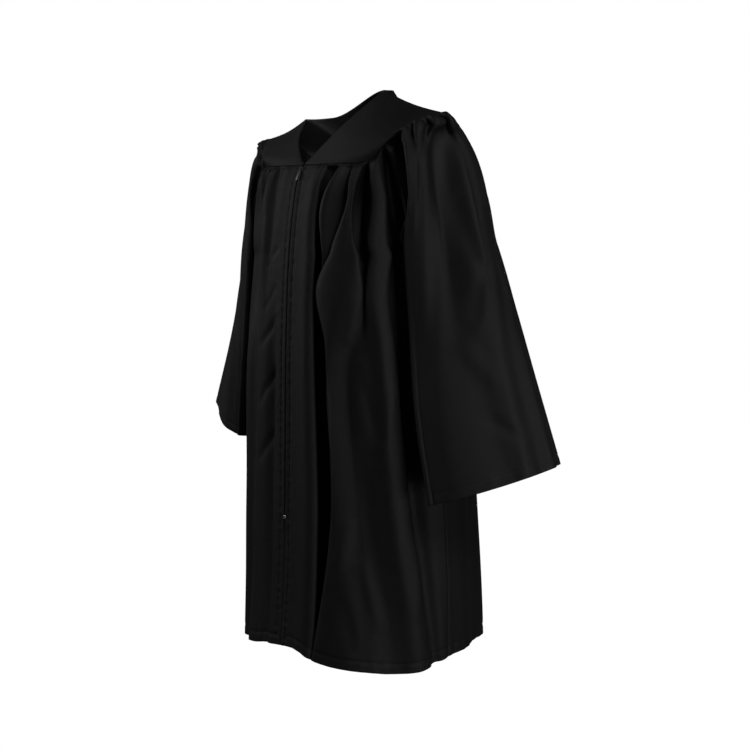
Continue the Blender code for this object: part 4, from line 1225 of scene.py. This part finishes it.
def flat_body(name, place, outline, hole, low_out, high_out, round_off, material):
    """A flat metal part cut to an outline of (x, down) points, with rounded edges and, if hole is
    given, a window."""
    bm = bmesh.new()

    def ring(points, out):
        return [bm.verts.new(place(x, down, out)) for x, down in points]
    low = ring(outline, low_out)
    high = ring(outline, high_out)
    pairs = [(i, (i + 1) % len(outline)) for i in range(len(outline))]
    if hole:
        low_in = ring(hole, low_out)
        high_in = ring(hole, high_out)
        for i, j in pairs:
            bm.faces.new((low[i], low[j], low_in[j], low_in[i]))
            bm.faces.new((high[j], high[i], high_in[i], high_in[j]))
            bm.faces.new((low_in[j], low_in[i], high_in[i], high_in[j]))
    else:
        bm.faces.new(low[::-1])
        bm.faces.new(high)
    for i, j in pairs:
        bm.faces.new((low[i], low[j], high[j], high[i]))
    bmesh.ops.recalc_face_normals(bm, faces=bm.faces)
    piece = placed(name, mesh_from(bm, name), material)
    edge = piece.modifiers.new("rounded", "BEVEL")
    edge.width = round_off
    edge.segments = 3
    edge.limit_method = "ANGLE"
    edge.angle_limit = math.radians(35)
    return applied(piece)


def joined(name, pieces):
    """One object from several closed bodies."""
    bm = bmesh.new()
    for piece in pieces:
        bm.from_mesh(piece.data)
    mesh = mesh_from(bm, name)
    smooth(mesh)
    material = pieces[0].data.materials[0]
    for piece in pieces:
        bpy.data.objects.remove(piece)
    return placed(name, mesh, material)


def bail_arch(name, place, material):
    """The loop on top of the slider that the tab hangs from: a round wire bent to an arch, a little
    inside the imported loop."""
    sides, steps = 10, 14
    vertices = []
    for i in range(steps + 1):
        turn = math.pi * i / steps
        down = -HINGE_UP - BAIL_REACH * 0.85 * math.cos(turn)
        out = PLATE_OUT - 0.0003 + (BAIL_OPENING + BAIL_WALL * 0.9) * math.sin(turn) ** 0.6
        for k in range(sides):
            angle = 2 * math.pi * k / sides
            away = BAIL_WALL * 0.55 * math.cos(angle)
            vertices.append(place(BAIL_HALF * 0.95 * math.sin(angle), down - away * math.cos(turn),
                                  out + away * math.sin(turn)))
    faces = []
    for i in range(steps):
        for k in range(sides):
            m = (k + 1) % sides
            faces.append((i * sides + k, i * sides + m, (i + 1) * sides + m, (i + 1) * sides + k))
    faces.append(tuple(range(sides))[::-1])
    faces.append(tuple(steps * sides + k for k in range(sides)))
    bm = bmesh.new()
    verts = [bm.verts.new(point) for point in vertices]
    for face in faces:
        bm.faces.new([verts[i] for i in face])
    bmesh.ops.recalc_face_normals(bm, faces=bm.faces)
    return placed(name, mesh_from(bm, name), material)


def round_outline(points, steps=4):
    """The outline with each corner eased by a short curve."""
    result = []
    count = len(points)
    for i in range(count):
        before, here, after = (np.array(points[k % count]) for k in (i - 1, i, i + 1))
        start = here + (before - here) * 0.3
        end = here + (after - here) * 0.3
        for k in range(steps + 1):
            t = k / steps
            result.append(tuple((1 - t) ** 2 * start + 2 * t * (1 - t) * here + t * t * end))
    return result


def both_sides(points):
    """An outline from its points on one side and their mirror image on the other."""
    return points + [(-x, down) for x, down in points[::-1]]


def build_slider(metal):
    """The slider with its loop, and the tab that hangs from the loop by its window."""
    place = zip_frame(ZIP_TOP_Z - SLIDER_HEIGHT / 2)
    half = SLIDER_HEIGHT / 2
    wide = SLIDER_HALF
    outline = round_outline(both_sides([(-wide * 0.86, -half), (-wide, -half * 0.2), (-wide * 0.74, half)]))
    front, back = (flat_body("plate", place, outline, None, out - SLIDER_PLATE, out, SLIDER_ROUND, metal)
                   for out in (PLATE_OUT, BACK_OUT))
    wide = SLIDER_POST_HALF
    outline = [(-wide, -half * 0.94), (-wide, half * 0.1), (0, half * 0.2), (wide, half * 0.1),
               (wide, -half * 0.94)]
    post = flat_body("post", place, outline, None, BACK_OUT - 0.0003, PLATE_OUT - SLIDER_PLATE + 0.0003,
                     SMALL_ROUND, metal)
    body = joined("zip_slider_body", [front, back, post, bail_arch("bail", place, metal)])
    up = -HINGE_UP
    long = TAB_LENGTH
    wide = TAB_HALF
    outer = round_outline(both_sides([(-wide * 0.75, up - PIN), (-wide, up + long * 0.35),
                                      (-wide, up + long * 0.8), (-wide * 0.7, up + long)]))
    long = TAB_WINDOW
    wide = TAB_HALF - TAB_ARM
    hole = round_outline(both_sides([(-wide, up + PIN), (-wide, up + long * 0.3),
                                     (-wide, up + long * 0.7), (-wide * 0.8, up + long)]))
    out = PLATE_OUT + BAIL_OPENING / 2
    return body, flat_body("zip_tab", place, outer, hole, out - PIN, out + PIN, SMALL_ROUND, metal)


def sewn_row(points, closed, middle):
    """The middle row or column of a narrow strip of points, lifted to lie on the cloth's face."""
    normals, _ = surface(points, closed, middle)
    lifted = points + normals * (CLOTH / 2 + THREAD * 0.2)
    row = lifted[1] if points.shape[0] == 3 else lifted[:, 1]
    return np.concatenate([row, row[:1]]) if closed else row


def stitch_lines():
    """Rows of machine stitches: both sides of the zip, along the hem and round each cuff."""
    lines = []
    near = np.array([-0.0004, 0.0, 0.0004])
    hem = 1 - HEM_DEPTH / FRONT_CUT_DROP + near
    beside_zip = STITCH_LINE - ZIP_OPENING / 2 + near
    for side in (LEFT, RIGHT):
        down = front_net(side, np.linspace(0.004, 0.86, 300), beside_zip)
        lines.append(sewn_row(down, False, upright_line(down)))
        along = front_net(side, hem, np.linspace(0.004, FRONT_FOLDS[side]["length"] - 0.002, 150))
        lines.append(sewn_row(along, False, upright_line(along)))
        around = np.linspace(0, SLEEVE_FOLDS["length"], 169)[:-1]
        cuff = sleeve_net(side, 1 - HEM_DEPTH / SLEEVE_SIZE[1] + near, around)
        lines.append(sewn_row(cuff, True, cuff.mean(axis=1, keepdims=True)))
    hem = 1 - HEM_DEPTH / BACK_SIZE[1] + near
    along = back_net(hem, np.linspace(0.002, BACK_FOLDS["length"] - 0.002, 260))
    lines.append(sewn_row(along, False, upright_line(along)))
    return lines


def dress(piece, node=None, body="gown"):
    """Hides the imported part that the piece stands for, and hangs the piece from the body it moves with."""
    if node:
        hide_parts(node)
    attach(piece, body)


def build_zip(tape, teeth, metal, nickel):
    """The zip from its tapes to the clip at its end. All of it lies on the gown but the pull tab."""
    for side, word in SIDES:
        xs = np.linspace(TAPE_INNER, TAPE_OUTER, 12) * side
        heights = np.linspace(ZIP_TOP_Z, CHAIN_END_Z - TAPE_END, 140)
        points = np.array([[zip_frame(z)(x, 0.0, TAPE_OUT) for x in xs] for z in heights])
        strip = cloth_shell("zip_tape_strip_" + word, points, np.abs(xs), ZIP_TAPE, tape,
                            upright_line(points))
        dress(strip, "zip_tape_" + word)
    line = zip_line(TEETH_OUT, ZIP_TOP_Z - 0.7 * SLIDER_HEIGHT, CHAIN_END_Z)
    coil = repeated_along("zip_teeth", [line], teeth, TOOTH_PITCH, TOOTH_LENGTH, TOOTH_THICK,
                          lie="across", stagger=TOOTH_STAGGER)
    dress(coil, "zip_coil")
    slider, tab = build_slider(metal)
    dress(slider, "zip_slider")
    dress(tab, "zip_pull_tab", "pull_tab")
    half = STOP_HEIGHT / 2
    place = zip_frame(CHAIN_END_Z - half - 0.0003)
    outline = round_outline(both_sides([(-STOP_HALF, -half), (-STOP_HALF, half)]))
    stop = flat_body("zip_stop_clip", place, outline, None, -STOP_THICK_HALF, STOP_THICK_HALF, STOP_ROUND,
                     nickel)
    dress(stop, "zip_bottom_stop")


def main():
    # Near-black polyester with a dull sheen, so that only the crests of the folds catch light. Its
    # thread waves are drawn 1.1 mm long, coarser than the real 0.25 mm or so, to show at all.
    fabric = woven_material("plain woven polyester", "#101011", "#131314", 0.58, 0.0011, 0.00006, 0.0004)
    # Rougher and duller than the cloth: a flat dark band behind the teeth, its threads coarser too
    tape = woven_material("woven zip tape", "#0C0C0D", "#101011", 0.85, 0.0008, 0.00010, 0.0002)
    # A shade lighter than the cloth, so that the sewn lines read as fine dashes
    thread = worn_material("spun polyester thread", "#131314", "#1D1D1F", 0.55, 0.0, 0.004, 0.0003, 0.00008)
    # Smooth plastic: each tooth gives a small soft glint, and the row a fine sparkle
    teeth = worn_material("moulded nylon coil", "#0A0A0B", "#141415", 0.38, 0.0, 0.003, 0.0004, 0.00002)
    # Black lacquer over metal: clear edges and a narrow shine on the slider and its tab
    metal = worn_material("black lacquered zinc", "#0C0C0D", "#19191B", 0.36, 0.0, 0.0025, 0.0003, 0.00001)
    # The one bright spot of the gown, at the end of the zip
    nickel = worn_material("nickel plated brass", "#A9A69E", "#C4C1B8", 0.28, 1.0, 0.002, 0.0003, 0.00001)
    cloth = build_cloth(fabric)
    for node, piece in cloth.items():
        dress(piece, node)
    seams = repeated_along("machine_stitches", stitch_lines(), thread, STITCH_PITCH, STITCH_LENGTH, THREAD)
    dress(seams)
    build_zip(tape, teeth, metal, nickel)
    add_camera()
    add_world()
    add_lamps()
    add_floor()


def add_camera():
    camera = bpy.data.cameras.new("camera")
    camera.sensor_width = 36
    camera.lens = VIEW_FOCUS * camera.sensor_width / PICTURE
    camera.shift_x = (PICTURE / 2 - PRINCIPAL_X) / PICTURE
    camera.shift_y = -(PICTURE / 2 - PRINCIPAL_Y) / PICTURE
    eye = placed("camera", camera)
    eye.location = studio_place(0.0, VIEW_DISTANCE, VIEW_HEIGHT)
    eye.rotation_euler = (math.radians(90) - VIEW_PITCH, 0, VIEW_AZIMUTH)
    scene = bpy.context.scene
    scene.camera = eye
    scene.view_settings.view_transform = "Standard"
    scene.view_settings.look = "None"


def add_world():
    """White to the camera, as a studio ground is, but hardly any light on the gown from all round."""
    world = bpy.data.worlds.new("white studio")
    world.use_nodes = True
    bpy.context.scene.world = world
    tree = world.node_tree
    tree.nodes.clear()
    path = add(tree, "ShaderNodeLightPath")
    lit, seen = (add(tree, "ShaderNodeBackground", Color=(1, 1, 1, 1), Strength=strength)
                 for strength in (0.06, 1.0))
    mix = add(tree, "ShaderNodeMixShader", {0: path.outputs["Is Camera Ray"], 1: lit.outputs[0],
                                            2: seen.outputs[0]})
    add(tree, "ShaderNodeOutputWorld", {"Surface": mix.outputs[0]})


def studio_place(aside, toward, up):
    """A point by its distance to the camera's right, its distance towards the camera, and height."""
    right = np.array([math.cos(VIEW_AZIMUTH), math.sin(VIEW_AZIMUTH), 0])
    ahead = np.array([math.sin(VIEW_AZIMUTH), -math.cos(VIEW_AZIMUTH), 0])
    return Vector(tuple(right * aside + ahead * toward + np.array([0, 0, up])))


def hang_lamp(lamp, place, target):
    light = placed(lamp.name, lamp)
    light.location = place
    light.rotation_euler = (target - place).to_track_quat("-Z", "Y").to_euler()


# Each square lamp: name, distance to the camera's right, towards the camera and up, width and watts
LAMPS = (
    ("key", 1.15, 2.4, 1.4, 0.8, 38),
    ("side", -2.2, -0.5, 0.5, 1.0, 16),
    ("low", 1.5, 1.9, -1.0, 1.0, 21),
    ("back", 0.4, -2.6, -0.3, 1.2, 30),
)


def add_lamps():
    """A large key beside the camera, weaker ones from the side and from low down, one behind for the
    edges, and a narrow one into the neck opening."""
    for name, aside, toward, up, size, power in LAMPS:
        lamp = bpy.data.lights.new(name, "AREA")
        lamp.shape = "SQUARE"
        lamp.size = size
        lamp.energy = power
        hang_lamp(lamp, studio_place(aside, toward, up), Vector((0, 0, -0.35)))
    spot = bpy.data.lights.new("neck", "SPOT")
    spot.energy = 500
    spot.spot_size = math.radians(2.7)
    spot.spot_blend = 0.8
    spot.shadow_soft_size = 0.06
    hang_lamp(spot, studio_place(0.15, 2.6, 0.15), studio_place(-0.044, -0.03, -0.026))


def add_floor():
    """Overlit white paper: it burns out to an even white, as studio grounds do, with hardly a grain."""
    paper = bpy.data.materials.new("white backdrop paper")
    paper.use_nodes = True
    tree = paper.node_tree
    tree.nodes.clear()
    place = add(tree, "ShaderNodeTexCoord")
    grain = add(tree, "ShaderNodeTexNoise", {"Vector": place.outputs["Object"]}, "paper grain", Scale=40.0)
    tone = toned(tree, grain.outputs["Fac"], "#FDFDFD", "#FFFFFF")
    glow = add(tree, "ShaderNodeEmission", {"Color": tone}, Strength=1.02)
    add(tree, "ShaderNodeOutputMaterial", {"Surface": glow.outputs[0]})
    mesh = bpy.data.meshes.new("studio_floor")
    reach = 6.0
    corners = [(x * reach, y * reach, FLOOR_Z) for x, y in ((-1, -1), (1, -1), (1, 1), (-1, 1))]
    mesh.from_pydata(corners, [], [(0, 1, 2, 3)])
    floor = placed("studio_floor", mesh, paper)
    floor.visible_diffuse = False
    floor.visible_glossy = False


main()
